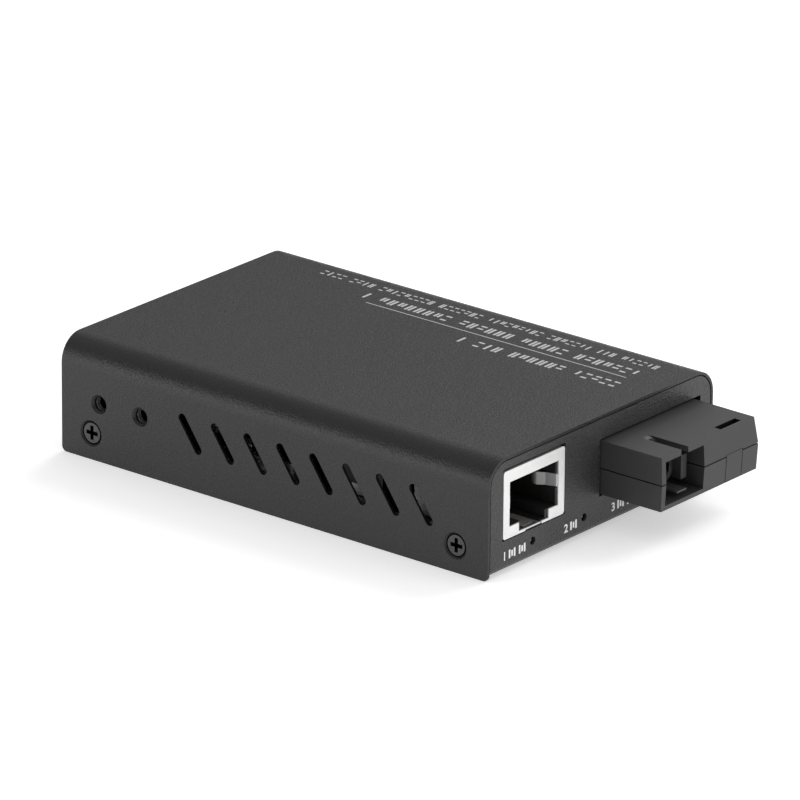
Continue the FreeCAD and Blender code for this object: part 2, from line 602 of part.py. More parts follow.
# ---- main board and its fixings ----
def board_hole_points():
    """Centres of the board's fixing screws."""
    x = BOARD_HALF - BOARD_HOLE_INSET
    return [(side * x, y) for side in (-1, 1) for y in (FRONT_Y + BOARD_HOLE_FRONT, REAR_Y - BOARD_HOLE_REAR)]


def optic_pin_points():
    """Centres of the transceiver's pins, one row across its rear end."""
    first = OPTIC_X - OPTIC_PIN_PITCH * (OPTIC_PIN_COUNT - 1) / 2
    return [(first + i * OPTIC_PIN_PITCH, FRONT_Y + OPTIC_PIN_DEPTH) for i in range(OPTIC_PIN_COUNT)]


def optic_post_points():
    """Centres of the transceiver's two locating posts."""
    y = FRONT_Y + OPTIC_PIN_DEPTH - OPTIC_POST_OFFSET
    return [(OPTIC_X + side * OPTIC_POST_OFFSET / 2, y) for side in (-1, 1)]


def shield_leg_xs(side):
    """Low and high x of the jack shield's ground leg on one side."""
    outer = JACK_X + side * JACK_WIDTH / 2
    return tuple(sorted((outer, outer - side * JACK_SHEET)))


def contact_xs():
    """Centre x of each jack contact."""
    first = JACK_X - CONTACT_PITCH * (CONTACT_COUNT - 1) / 2
    return [first + i * CONTACT_PITCH for i in range(CONTACT_COUNT)]


def contact_leg_y():
    """Centre y of the contacts' legs through the board."""
    return FRONT_Y + JACK_FRONT + JACK_DEPTH - JACK_SHEET - CONTACT_LEG_SETBACK


def dc_leg_points():
    """Centres of the power jack's two legs through the board."""
    rear = PANEL_REAR - DC_LENGTH
    return [(DC_X, rear + DC_SPRING_THICK), (DC_X, PANEL_REAR - DC_LENGTH / 2)]


def make_main_board():
    zs = (BOARD_BOTTOM, BOARD_TOP)
    board = up_z(rectangle((-BOARD_HALF, BOARD_HALF), (BOARD_FRONT, BOARD_REAR), BOARD_CORNER), zs)
    through = (BOARD_BOTTOM - CUT_PAST, BOARD_TOP + CUT_PAST)
    span = through[1] - through[0]
    holes = []
    for origin, axis in cover_screw_points():
        start = V(axis.x * BOARD_HALF, origin.y, through[0])
        holes.append(rod(COVER_SCREW_R + BOARD_NOTCH_GAP, start, V(0, 0, 1), span))
    round_holes = [(point, BOARD_SCREW_R + PIN_CLEARANCE) for point in board_hole_points()]
    round_holes += [(point, OPTIC_POST_R + PIN_CLEARANCE) for point in optic_post_points()]
    for (x, y), radius in round_holes:
        holes.append(rod(radius, V(x, y, through[0]), V(0, 0, 1), span))
    for x, y in optic_pin_points():
        width = OPTIC_PIN_SIZE + 2 * PIN_CLEARANCE
        holes.append(block(about(x, width), about(y, width), through))
    leg_y = FRONT_Y + JACK_FRONT + SHIELD_LEG_DEPTH
    for side in (-1, 1):
        low, high = shield_leg_xs(side)
        holes.append(block((low - PIN_CLEARANCE, high + PIN_CLEARANCE),
                           about(leg_y, SHIELD_LEG_WIDTH + 2 * PIN_CLEARANCE), through))
    for x in contact_xs():
        holes.append(block(about(x, CONTACT_WIDTH + 2 * PIN_CLEARANCE),
                           about(contact_leg_y(), CONTACT_THICK + 2 * PIN_CLEARANCE), through))
    for x, y in dc_leg_points():
        holes.append(block(about(x, DC_LEG_WIDTH + 2 * PIN_CLEARANCE),
                           about(y, DC_SPRING_THICK + 2 * PIN_CLEARANCE), through))
    return board.cut(holes)


def make_board_standoffs():
    solids = []
    for x, y in board_hole_points():
        height = BOARD_BOTTOM - TRAY_LIFT
        bore = BOARD_SCREW_R + SCREW_CLEARANCE
        profile = [(0, 0, 0), (STANDOFF_FOOT_R, 0, 0), (STANDOFF_FOOT_R, SHEET, 0), (STANDOFF_R, SHEET, 0),
                   (STANDOFF_R, height, 0), (bore, height, 0), (bore, SHEET, 0), (0, SHEET, 0)]
        solids.append(turned(profile, V(x, y, TRAY_LIFT), V(0, 0, 1)))
    return Part.makeCompound(solids)


def make_board_screws():
    solids = []
    for x, y in board_hole_points():
        end = FLOOR_TOP + BOARD_SCREW_END_GAP - BOARD_TOP
        profile = [(0, end, 0), (BOARD_SCREW_R, end, 0), (BOARD_SCREW_R, 0, 0), (BOARD_SCREW_HEAD_R, 0, 0),
                   (BOARD_SCREW_HEAD_R, BOARD_SCREW_HEAD_H, 0), (0, BOARD_SCREW_HEAD_H, 0)]
        solids.append(turned(profile, V(x, y, BOARD_TOP), V(0, 0, 1)))
    return Part.makeCompound(solids)


# ---- RJ45 jack ----
def jack_opening(clear, half, notch_half, low, high, ys):
    """Mouth of the jack: a rectangle with the latch notch below it."""
    points = [(-half, low), (-notch_half, low), (-notch_half, clear), (notch_half, clear), (notch_half, low),
              (half, low), (half, high), (-half, high)]
    return along_y([(JACK_X + x, BOARD_TOP + z, 0) for x, z in points], ys)


def finger_path(side):
    """Centre path in plan of a side contact finger, rooted in the edge of the shield's opening."""
    root = JACK_X + side * (JACK_OPEN_HALF + JACK_SHEET / 2)
    return [(root - side * inward, FRONT_Y + JACK_FRONT + back) for inward, back in FINGER_PATH]


def make_rj45_shield():
    front = FRONT_Y + JACK_FRONT
    xs = about(JACK_X, JACK_WIDTH)
    ys = (front, front + JACK_DEPTH)
    shield = along_y(rectangle(xs, (BOARD_TOP, JACK_TOP), JACK_CORNER), ys)
    inside_ys = (ys[0] + JACK_SHEET, ys[1] - JACK_SHEET)
    inside_xs = (xs[0] + JACK_SHEET, xs[1] - JACK_SHEET)
    shield = shield.cut(block(inside_xs, inside_ys, (BOARD_TOP + JACK_SHEET, JACK_TOP - JACK_SHEET)))
    floor_zs = (BOARD_TOP - CUT_PAST, BOARD_TOP + 2 * JACK_SHEET)
    tongue = block(about(JACK_X, 2 * JACK_TONGUE_HALF), (front, front + JACK_TONGUE_LENGTH), floor_zs)
    open_floor = block(inside_xs, (front + JACK_LIP_LENGTH, ys[1] + CUT_PAST), floor_zs).cut(tongue)
    mouth = jack_opening(JACK_NOTCH_LOW, JACK_OPEN_HALF, JACK_NOTCH_HALF, JACK_OPEN_LOW, JACK_OPEN_HIGH,
                         (front - CUT_PAST, inside_ys[0]))
    lip_gap = block(about(JACK_X, 2 * JACK_LIP_GAP_HALF), (front - CUT_PAST, inside_ys[0]),
                    (BOARD_TOP - CUT_PAST, BOARD_TOP + JACK_NOTCH_LOW + JACK_SHEET))
    slot = block(about(JACK_X, 2 * (JACK_TONGUE_HALF - JACK_TONGUE_EDGE)),
                 [front + depth for depth in JACK_TONGUE_SLOT], floor_zs)
    shield = shield.cut([open_floor, mouth, lip_gap, slot])
    extras = []
    leg_ys = about(front + SHIELD_LEG_DEPTH, SHIELD_LEG_WIDTH)
    for side in (-1, 1):
        low = BOARD_TOP + FINGER_LOW
        extras.append(up_z(strip(finger_path(side), JACK_SHEET, FINGER_BEND), (low, low + FINGER_HEIGHT)))
        extras.append(block(shield_leg_xs(side), leg_ys, (LEG_BOTTOM, BOARD_TOP + JACK_CORNER + JACK_SHEET)))
    return joined(shield, extras)


def contact_path():
    """Centre path, seen from the side, of a jack contact: leg, rise, roof run and spring tip."""
    front = FRONT_Y + JACK_FRONT
    roof = BOARD_TOP + JACK_CAVITY_HIGH + CONTACT_ROOF
    tip = (front + CONTACT_TIP, BOARD_TOP + JACK_CAVITY_HIGH - CONTACT_DROP)
    return [(contact_leg_y(), LEG_BOTTOM), (contact_leg_y(), roof), (front + CONTACT_START, roof),
            (front + CONTACT_START - CONTACT_TURN, roof - CONTACT_TURN), tip]


def make_rj45_housing():
    front = FRONT_Y + JACK_FRONT + JACK_SHEET + JACK_CLEARANCE
    rear = FRONT_Y + JACK_FRONT + JACK_DEPTH - JACK_SHEET - JACK_CLEARANCE
    half = JACK_WIDTH / 2 - JACK_SHEET - JACK_CLEARANCE
    top = JACK_TOP - JACK_SHEET - JACK_CLEARANCE
    housing = block(about(JACK_X, 2 * half), (front, rear), (BOARD_TOP, top))
    past = front - CUT_PAST
    face = FRONT_Y + JACK_FRONT
    cavity = jack_opening(JACK_LATCH_LOW, JACK_CAVITY_HALF, JACK_LATCH_HALF, JACK_CAVITY_LOW,
                          JACK_CAVITY_HIGH, (past, front + JACK_CAVITY_DEPTH))
    lip = block(about(JACK_X, 2 * half + CUT_PAST), (past, face + JACK_LIP_LENGTH + JACK_CLEARANCE),
                (BOARD_TOP - CUT_PAST, BOARD_TOP + JACK_SHEET + JACK_CLEARANCE))
    window = block(about(JACK_X, 2 * (JACK_TONGUE_HALF + JACK_CLEARANCE)),
                   (past, face + JACK_TONGUE_LENGTH + JACK_CLEARANCE),
                   (BOARD_TOP - CUT_PAST, BOARD_TOP + JACK_CAVITY_LOW))
    cuts = [cavity, lip, window]
    low = BOARD_TOP + FINGER_LOW - JACK_CLEARANCE * 2
    for side in (-1, 1):
        wall = JACK_X + side * (JACK_OPEN_HALF + JACK_SHEET + JACK_CLEARANCE)
        pocket = tuple(sorted((wall, JACK_X)))
        cuts.append(block(pocket, (past, face + FINGER_PATH[-1][1] + FINGER_SPACE),
                          (low, low + FINGER_HEIGHT + 4 * JACK_CLEARANCE)))
    groove = CONTACT_THICK / 2 + JACK_CLEARANCE
    leg_y = contact_leg_y()
    roof = contact_path()[1][1]
    for x in contact_xs():
        xs = about(x, CONTACT_WIDTH + 2 * JACK_CLEARANCE)
        cuts.append(block(xs, (leg_y - groove, leg_y + groove), (BOARD_TOP - CUT_PAST, roof + groove)))
        cuts.append(block(xs, (front + CONTACT_GROOVE, leg_y + groove),
                          (roof - CONTACT_ROOF - groove, roof + groove)))
    return housing.cut(cuts)


def make_rj45_contacts():
    points = strip(contact_path(), CONTACT_THICK)
    return Part.makeCompound([across_x(points, about(x, CONTACT_WIDTH)) for x in contact_xs()])


# ---- fibre transceiver ----
def drafted_half(wide_z, narrow_z, end_lean, end_taper):
    """Outer form of one moulded half, widest at the parting line, with its outer end drafted more."""
    def ring(z, lean, end, taper):
        left = OPTIC_LEFT + lean / 2
        right = OPTIC_RIGHT - end
        front = OPTIC_FRONT + lean
        corners = [(left, front), (right - taper, front), (right, OPTIC_REAR), (left, OPTIC_REAR)]
        return outline([(V(x, y, z), 0) for x, y in corners]).OuterWire
    return Part.makeLoft([ring(wide_z, 0, 0, 0), ring(narrow_z, OPTIC_LEAN, end_lean, end_taper)], True, True)


def parting_grooves(zs):
    """Grooves along the parting line: round the outside, but not at the snap tongue, and round the port."""
    past = OPTIC_FRONT - CUT_PAST
    around = block((OPTIC_LEFT - CUT_PAST, OPTIC_RIGHT + CUT_PAST), (past, OPTIC_REAR + CUT_PAST), zs)
    core = block((OPTIC_LEFT + PARTING_DEPTH, OPTIC_RIGHT - PARTING_DEPTH),
                 (OPTIC_FRONT + PARTING_DEPTH, OPTIC_REAR - PARTING_DEPTH), zs)
    tongue = block(about(TONGUE_X, TONGUE_WIDTH), (past, OPTIC_FRONT + OPTIC_WALL), zs)
    port = block(about(PORT_X, PORT_WIDTH + 2 * PARTING_DEPTH), (past, PORT_BACK), zs)
    return [around.cut([core, tongue]), port]


def port_space(zs):
    """The plug's space in one half."""
    return block((PORT_LEFT, PORT_RIGHT), (OPTIC_FRONT - CUT_PAST, PORT_BACK), zs)


def optic_spaces(zs):
    """Hollows of one half behind and beside the port."""
    wall = OPTIC_WALL
    ys = (CAVITY_START, OPTIC_REAR - wall)
    behind = block((OPTIC_LEFT + wall, OPTIC_RIGHT - wall), ys, zs)
    beside = block((PORT_RIGHT + wall, OPTIC_RIGHT - wall - OPTIC_LEAN),
                   (OPTIC_FRONT + wall + OPTIC_LEAN, ys[1]), zs)
    nose = rod(NOSE_R + NOSE_CLEARANCE, V(PORT_X, PORT_BACK - CUT_PAST, OPTIC_SPLIT), V(0, 1, 0),
               PORT_BACK_WALL + 2 * CUT_PAST)
    return [behind, beside, nose]


def make_optic_upper_shell():
    shell = drafted_half(OPTIC_SPLIT, OPTIC_TOP, OPTIC_END_LEAN, OPTIC_END_TAPER)
    roof = OPTIC_TOP - OPTIC_WALL
    cuts = optic_spaces((OPTIC_SPLIT - CUT_PAST, roof))
    cuts.append(port_space((OPTIC_SPLIT - CUT_PAST, PORT_ROOF)))
    cuts += parting_grooves((OPTIC_SPLIT, OPTIC_SPLIT + PARTING_GROOVE / 2))
    slot_end = OPTIC_FRONT + KEY_LENGTH
    slot_xs = about(PORT_X, KEY_WIDTH)
    slot = [(slot_xs[0], OPTIC_FRONT - CUT_PAST, 0), (slot_xs[1], OPTIC_FRONT - CUT_PAST, 0),
            (slot_xs[1], slot_end, KEY_CORNER), (slot_xs[0], slot_end, KEY_CORNER)]
    cuts.append(up_z(slot, (PORT_ROOF - CUT_PAST, OPTIC_TOP + CUT_PAST)))
    runout = [(slot_end - KEY_WIDTH, OPTIC_TOP - KEY_RUNOUT_DEPTH * 2, 0),
              (slot_end + KEY_RUNOUT, OPTIC_TOP, 0), (slot_end + KEY_RUNOUT, OPTIC_TOP + CUT_PAST, 0),
              (slot_end - KEY_WIDTH, OPTIC_TOP + CUT_PAST, 0)]
    rounded = up_z(rectangle(slot_xs, (slot_end - KEY_WIDTH, slot_end + KEY_RUNOUT), KEY_CORNER),
                   (roof, OPTIC_TOP + CUT_PAST))
    cuts.append(across_x(runout, slot_xs).common(rounded))
    window_start = OPTIC_FRONT + OPTIC_LEAN + WINDOW_SETBACK
    cuts.append(block(about(TONGUE_X, WINDOW_WIDTH), (window_start, window_start + WINDOW_LENGTH),
                      (roof - CUT_PAST, OPTIC_TOP + CUT_PAST)))
    cuts.append(block(about(TONGUE_X, TONGUE_WIDTH + TONGUE_SLIT),
                      (OPTIC_FRONT - CUT_PAST, OPTIC_FRONT + OPTIC_WALL),
                      (OPTIC_SPLIT - CUT_PAST, OPTIC_SPLIT + TONGUE_RISE + TONGUE_SLIT / 2)))
    return shell.cut(cuts)


def make_optic_lower_shell():
    shell = drafted_half(OPTIC_SPLIT, OPTIC_BOTTOM, OPTIC_LEAN / 2, 0)
    floor = OPTIC_BOTTOM + OPTIC_WALL
    zs = (floor, OPTIC_SPLIT + CUT_PAST)
    cuts = optic_spaces(zs)
    cuts.append(port_space((PORT_FLOOR, OPTIC_SPLIT + CUT_PAST)))
    cuts += parting_grooves((OPTIC_SPLIT - PARTING_GROOVE / 2, OPTIC_SPLIT))
    for side in (-1, 1):
        cuts.append(block(about(TONGUE_X + side * TONGUE_WIDTH / 2, TONGUE_SLIT),
                          (OPTIC_FRONT - CUT_PAST, OPTIC_FRONT + TONGUE_SLIT_DEPTH),
                          (OPTIC_BOTTOM - CUT_PAST, OPTIC_SPLIT + CUT_PAST)))
    pins = optic_pin_points()
    margin = (OPTIC_PIN_SLOT - OPTIC_PIN_SIZE) / 2
    cuts.append(block((pins[0][0] - margin, pins[-1][0] + margin), about(pins[0][1], OPTIC_PIN_SLOT),
                      (OPTIC_BOTTOM - CUT_PAST, floor + CUT_PAST)))
    shell = shell.cut(cuts)
    tongue_ys = (OPTIC_FRONT + TONGUE_DRAFT, OPTIC_FRONT + OPTIC_WALL - TONGUE_SLIT)
    extras = [block(about(TONGUE_X, TONGUE_WIDTH - TONGUE_SLIT), tongue_ys,
                    (OPTIC_SPLIT - TONGUE_ROOT, OPTIC_SPLIT + TONGUE_RISE))]
    for x, y in optic_post_points():
        extras.append(rod(OPTIC_POST_R, V(x, y, LEG_BOTTOM), V(0, 0, 1), floor - LEG_BOTTOM))
        extras.append(rod(OPTIC_POST_R * 2, V(x, y, BOARD_TOP), V(0, 0, 1), floor - BOARD_TOP))
        rear = OPTIC_REAR - OPTIC_REST_SETBACK
        extras.append(block(about(x, OPTIC_REST), (rear - OPTIC_REST, rear), (BOARD_TOP, floor)))
    return joined(shell, extras)


def make_optic_latch_clip():
    back = PORT_BACK
    plate_front = back - LATCH_PLATE
    tip = OPTIC_FRONT + LATCH_TIP
    head = LATCH_HEAD_SPACING / 2
    outer = head + LATCH_HEAD_THICK
    plate = block(about(PORT_X, 2 * outer), (plate_front, back), (PORT_FLOOR, PORT_ROOF - LATCH_PLATE_DROP))
    parts = []
    for side in (-1, 1):
        hook = tip + LATCH_HEAD_LENGTH
        arm = [(outer, back), (outer, tip), (head, tip), (head, hook - LATCH_HEAD_SLOPE),
               (outer - LATCH_THICK, hook), (outer - LATCH_THICK, back)]
        parts.append(up_z([(PORT_X + side * a, y, 0) for a, y in arm], about(OPTIC_SPLIT, LATCH_HEIGHT)))
    base_top = PORT_FLOOR + LATCH_BASE_HEIGHT
    parts.append(block(about(PORT_X, LATCH_BASE_WIDTH), (OPTIC_FRONT + LATCH_BASE_TIP, back),
                       (base_top - LATCH_BASE_THICK, base_top)))
    clip = joined(plate, parts)
    return clip.cut(rod(NOSE_R + NOSE_CLEARANCE, V(PORT_X, plate_front - CUT_PAST, OPTIC_SPLIT), V(0, 1, 0),
                        LATCH_PLATE + 2 * CUT_PAST))


def make_optic_receptacle():
    length = CAVITY_START - OPTIC_FRONT - NOSE_TIP
    total = length + RECEPTACLE_FLANGE
    profile = [(FERRULE_BORE_R, FERRULE_BORE_LEAD, 0), (FERRULE_BORE_R + FERRULE_BORE_LEAD, 0, 0),
               (NOSE_R, 0, 0), (NOSE_R, length, 0), (RECEPTACLE_FLANGE_R, length, 0),
               (RECEPTACLE_FLANGE_R, total, 0), (0, total, 0), (0, FERRULE_BORE_DEPTH, 0),
               (FERRULE_BORE_R, FERRULE_BORE_DEPTH, 0)]
    return turned(profile, V(PORT_X, OPTIC_FRONT + NOSE_TIP, OPTIC_SPLIT), V(0, 1, 0))


def barrel_front():
    return CAVITY_START + RECEPTACLE_FLANGE


def make_optic_barrel():
    origin = V(PORT_X, barrel_front(), OPTIC_SPLIT)
    barrel = rod(BARREL_R, origin, V(0, 1, 0), BARREL_LENGTH)
    width = 2 * (SIDE_CAN_R + CAN_SEAT)
    seat = block((PORT_X, PORT_X + BARREL_R + CAN_SEAT), about(origin.y + SIDE_CAN_AT, width),
                 about(OPTIC_SPLIT, width))
    return joined(barrel, [seat])


def can_with_leads(radius, flange_r, origin, axis):
    """Metal can on a flange, with leads out of the back of it."""
    profile = [(0, 0, 0), (flange_r, 0, 0), (flange_r, CAN_FLANGE, 0), (radius, CAN_FLANGE, 0),
               (radius, CAN_LENGTH, 0), (0, CAN_LENGTH, 0)]
    body = turned(profile, origin, axis)
    turn = FreeCAD.Rotation(V(0, 0, 1), axis)
    leads = []
    for i in range(CAN_LEAD_COUNT):
        angle = math.pi / 2 + 2 * math.pi * i / CAN_LEAD_COUNT
        start = V(CAN_LEAD_CIRCLE * math.cos(angle), CAN_LEAD_CIRCLE * math.sin(angle), CAN_LENGTH / 2)
        leads.append(rod(CAN_LEAD_R, origin + turn.multVec(start), axis, CAN_LENGTH / 2 + CAN_LEAD_LENGTH))
    return joined(body, leads)


def make_optic_laser_can():
    origin = V(PORT_X, barrel_front() + BARREL_LENGTH, OPTIC_SPLIT)
    return can_with_leads(CAN_R, CAN_FLANGE_R, origin, V(0, 1, 0))


def make_optic_photodiode_can():
    origin = V(PORT_X + BARREL_R + CAN_SEAT, barrel_front() + SIDE_CAN_AT, OPTIC_SPLIT)
    return can_with_leads(SIDE_CAN_R - CAN_FLANGE_R + CAN_R, SIDE_CAN_R, origin, V(1, 0, 0))


def make_optic_board():
    xs = (OPTIC_LEFT + OPTIC_WALL + OPTIC_BOARD_GAP, OPTIC_RIGHT - OPTIC_WALL - OPTIC_BOARD_GAP)
    rear = OPTIC_REAR - OPTIC_WALL - OPTIC_BOARD_GAP
    zs = (OPTIC_BOARD_Z, OPTIC_BOARD_Z + OPTIC_BOARD_THICK)
    board = up_z(rectangle(xs, (rear - OPTIC_BOARD_LENGTH, rear), 0), zs)
    width = OPTIC_PIN_SIZE + 2 * PIN_CLEARANCE
    return board.cut([block(about(x, width), about(y, width), (zs[0] - CUT_PAST, zs[1] + CUT_PAST))
                      for x, y in optic_pin_points()])


def make_optic_pins():
    top = OPTIC_BOARD_Z + OPTIC_BOARD_THICK + OPTIC_PIN_STUB
    return Part.makeCompound([block(about(x, OPTIC_PIN_SIZE), about(y, OPTIC_PIN_SIZE), (LEG_BOTTOM, top))
                              for x, y in optic_pin_points()])


# ---- status lamps ----
def make_led_lamp(x):
    """Side-looking lamp under the board, behind its hole in the front panel."""
    front = PANEL_FRONT + SHEET + LAMP_FRONT_GAP
    centre_z = BOARD_BOTTOM - LAMP_HEIGHT / 2
    body = block(about(x, LAMP_WIDTH), (front, front + LAMP_LENGTH), about(centre_z, LAMP_HEIGHT))
    shoulder = LAMP_LENS_R - LAMP_LENS_CHAMFER
    lens = [(0, 0, 0), (LAMP_LENS_R, 0, 0), (LAMP_LENS_R, shoulder, 0), (shoulder, LAMP_LENS_R, 0),
            (0, LAMP_LENS_R, 0)]
    return joined(body, [turned(lens, V(x, front, centre_z), V(0, -1, 0))])


# ---- DC power jack ----
def make_dc_jack_housing():
    rear = PANEL_REAR - DC_LENGTH
    step = PANEL_REAR - DC_NOSE_LENGTH
    low, high = about(DC_X, DC_WIDTH)
    top = BOARD_TOP + DC_BODY_HEIGHT
    body = along_y([(low, BOARD_TOP, 0), (high, BOARD_TOP, 0), (high, top, DC_CORNER), (low, top, DC_CORNER)],
                   (rear, step))
    back = V(0, 1, 0)
    nose = rod(DC_NOSE_R, V(DC_X, step, DC_AXIS_Z), back, DC_NOSE_LENGTH)
    bore = rod(DC_BORE_R, V(DC_X, PANEL_REAR - DC_BORE_DEPTH, DC_AXIS_Z), back, DC_BORE_DEPTH + CUT_PAST)
    pin_hole = rod(DC_PIN_R, V(DC_X, rear - CUT_PAST, DC_AXIS_Z), back, DC_LENGTH)
    slot_xs = about(DC_X, DC_LEG_WIDTH + 2 * DC_SLOT_CLEARANCE)
    floor_slot = block(slot_xs, (rear + 3 * DC_SPRING_THICK, step - DC_SLOT_WALL),
                       (BOARD_TOP - CUT_PAST, DC_AXIS_Z - DC_BORE_R + DC_SLOT_RISE))
    tail_slot = block(slot_xs, (rear - CUT_PAST, rear + 2 * DC_SPRING_THICK),
                      (BOARD_TOP - CUT_PAST, DC_AXIS_Z + DC_PIN_R))
    return joined(body, [nose]).cut([bore, pin_hole, floor_slot, tail_slot])


def make_dc_jack_pin():
    rear = PANEL_REAR - DC_LENGTH
    tail = block(about(DC_X, DC_LEG_WIDTH), about(rear + DC_SPRING_THICK, DC_SPRING_THICK),
                 (LEG_BOTTOM, DC_AXIS_Z))
    start = rear + DC_SPRING_THICK / 2
    length = PANEL_REAR - DC_PIN_RECESS - start
    profile = [(0, 0, 0), (DC_PIN_R, 0, 0), (DC_PIN_R, length - DC_PIN_CHAMFER, 0),
               (DC_PIN_R - DC_PIN_CHAMFER, length, 0), (0, length, 0)]
    pin = turned(profile, V(DC_X, start, DC_AXIS_Z), V(0, 1, 0))
    return joined(pin, [tail])


def make_dc_jack_spring():
    leg_y = dc_leg_points()[1][1]
    low = DC_AXIS_Z - DC_BORE_R
    end = PANEL_REAR - DC_NOSE_LENGTH - DC_SPRING_END
    path = [(leg_y, LEG_BOTTOM), (leg_y, low - DC_SPRING_SINK),
            (leg_y + DC_SPRING_SLOPE, low + DC_SPRING_RISE), (end, low)]
    return across_x(strip(path, DC_SPRING_THICK), about(DC_X, DC_LEG_WIDTH))


# ---- parts on the board ----
def gull_lead(start, way, along, half_width, lift):
    """One bent lead of a chip: out of the body's side, down, and out along the board."""
    path = [(-LEAD_ROOT, lift), (LEAD_REACH * 0.35, lift), (LEAD_REACH * 0.55, LEAD_THICK / 2),
            (LEAD_REACH, LEAD_THICK / 2)]
    points = strip(path, LEAD_THICK)
    corners = [(start + way * a + V(0, 0, b) - along * half_width, 0) for a, b, r in points]
    return outline(corners).extrude(along * (2 * half_width))


def leaded_chip(at, size, leads, pitch, lead_width, rows):
    """Moulded chip with bent leads along the sides that rows names."""
    x, y = at[0], FRONT_Y + at[1]
    width, length, height = size
    body = block(about(x, width), about(y, length), (BOARD_TOP + CHIP_LIFT, BOARD_TOP + CHIP_LIFT + height))
    sides = {"y": [(V(0, 1, 0), V(1, 0, 0), length / 2), (V(0, -1, 0), V(1, 0, 0), length / 2)],
             "x": [(V(1, 0, 0), V(0, 1, 0), width / 2), (V(-1, 0, 0), V(0, 1, 0), width / 2)]}
    extras = []
    for row in rows:
        for way, along, reach in sides[row]:
            for i in range(leads):
                shift = (i - (leads - 1) / 2) * pitch
                start = V(x, y, BOARD_TOP) + way * reach + along * shift
                extras.append(gull_lead(start, way, along, lead_width / 2, CHIP_LIFT + height * 0.45))
    return joined(body, extras)


def make_crystal():
    x, y = CRYSTAL_AT[0], FRONT_Y + CRYSTAL_AT[1]
    rim_xs = about(x, CRYSTAL_LENGTH + 2 * CRYSTAL_RIM)
    rim_ys = about(y, CRYSTAL_WIDTH + 2 * CRYSTAL_RIM)
    base = up_z(rectangle(rim_xs, rim_ys, CRYSTAL_RIM), (BOARD_TOP, BOARD_TOP + CRYSTAL_BASE))
    can = up_z(rectangle(about(x, CRYSTAL_LENGTH), about(y, CRYSTAL_WIDTH), CRYSTAL_WIDTH * 0.45),
               (BOARD_TOP + CRYSTAL_BASE, BOARD_TOP + CRYSTAL_HEIGHT))
    return joined(base, [can])


def make_capacitor(at):
    x, y = at[0], FRONT_Y + at[1]
    half = CAPACITOR_BASE / 2
    cut = CAPACITOR_BASE_CUT
    base = up_z([(x - half, y - half, 0), (x + half, y - half, 0), (x + half, y + half - cut, 0),
                 (x + half - cut, y + half, 0), (x - half + cut, y + half, 0), (x - half, y + half - cut, 0)],
                (BOARD_TOP, BOARD_TOP + CAPACITOR_BASE_THICK))
    neck = CAPACITOR_BASE_THICK + CAPACITOR_NECK
    groove = CAPACITOR_NECK_DEPTH
    can = [(0, CAPACITOR_BASE_THICK, 0), (CAPACITOR_R, CAPACITOR_BASE_THICK, 0), (CAPACITOR_R, neck, 0),
           (CAPACITOR_R - groove, neck + groove, 0), (CAPACITOR_R, neck + 2 * groove, 0),
           (CAPACITOR_R, CAPACITOR_HEIGHT - CAPACITOR_CHAMFER, 0),
           (CAPACITOR_R - CAPACITOR_CHAMFER, CAPACITOR_HEIGHT, 0), (0, CAPACITOR_HEIGHT, 0)]
    return joined(base, [turned(can, V(x, y, BOARD_TOP), V(0, 0, 1))])


def make_power_inductor():
    x, y = INDUCTOR_AT[0], FRONT_Y + INDUCTOR_AT[1]
    body = up_z(rectangle(about(x, INDUCTOR_SIZE), about(y, INDUCTOR_SIZE), INDUCTOR_CORNER),
                (BOARD_TOP, BOARD_TOP + INDUCTOR_HEIGHT))
    ring = rectangle(INDUCTOR_RING, (INDUCTOR_HEIGHT - INDUCTOR_RING_DEPTH, INDUCTOR_HEIGHT + CUT_PAST), 0)
    return body.cut(turned(ring, V(x, y, BOARD_TOP), V(0, 0, 1)))


def make_regulator():
    """Three-lead regulator with a wide tab on its far side."""
    x, y = REGULATOR_AT[0], FRONT_Y + REGULATOR_AT[1]
    width, length, height = REGULATOR_SIZE
    body = block(about(x, width), about(y, length), (BOARD_TOP + CHIP_LIFT, BOARD_TOP + CHIP_LIFT + height))
    lift = CHIP_LIFT + height / 2
    leads = [gull_lead(V(x, y + length / 2, BOARD_TOP), V(0, 1, 0), V(1, 0, 0), REGULATOR_TAB / 2, lift)]
    for i in (-1, 0, 1):
        start = V(x + i * REGULATOR_PITCH, y - length / 2, BOARD_TOP)
        leads.append(gull_lead(start, V(0, -1, 0), V(1, 0, 0), REGULATOR_LEAD / 2, lift))
    return joined(body, leads)


def make_diode():
    x, y = DIODE_AT[0], FRONT_Y + DIODE_AT[1]
    width, length, height = DIODE_SIZE
    body = block(about(x, width), about(y, length), (BOARD_TOP + CHIP_LIFT, BOARD_TOP + CHIP_LIFT + height))
    leads = [block(about(x + side * DIODE_LEAD_OUT, DIODE_LEAD[0]), about(y, DIODE_LEAD[1]),
                   (BOARD_TOP, BOARD_TOP + DIODE_LEAD[2])) for side in (-1, 1)]
    return joined(body, leads)


def chip_row(at, count, size):
    """A row of equal small chips on the board."""
    ys = about(FRONT_Y + at[1], size[1])
    zs = (BOARD_TOP, BOARD_TOP + size[2])
    xs = [at[0] + i * CHIP_ROW_PITCH for i in range(count)]
    return Part.makeCompound([block(about(x, size[0]), ys, zs) for x in xs])


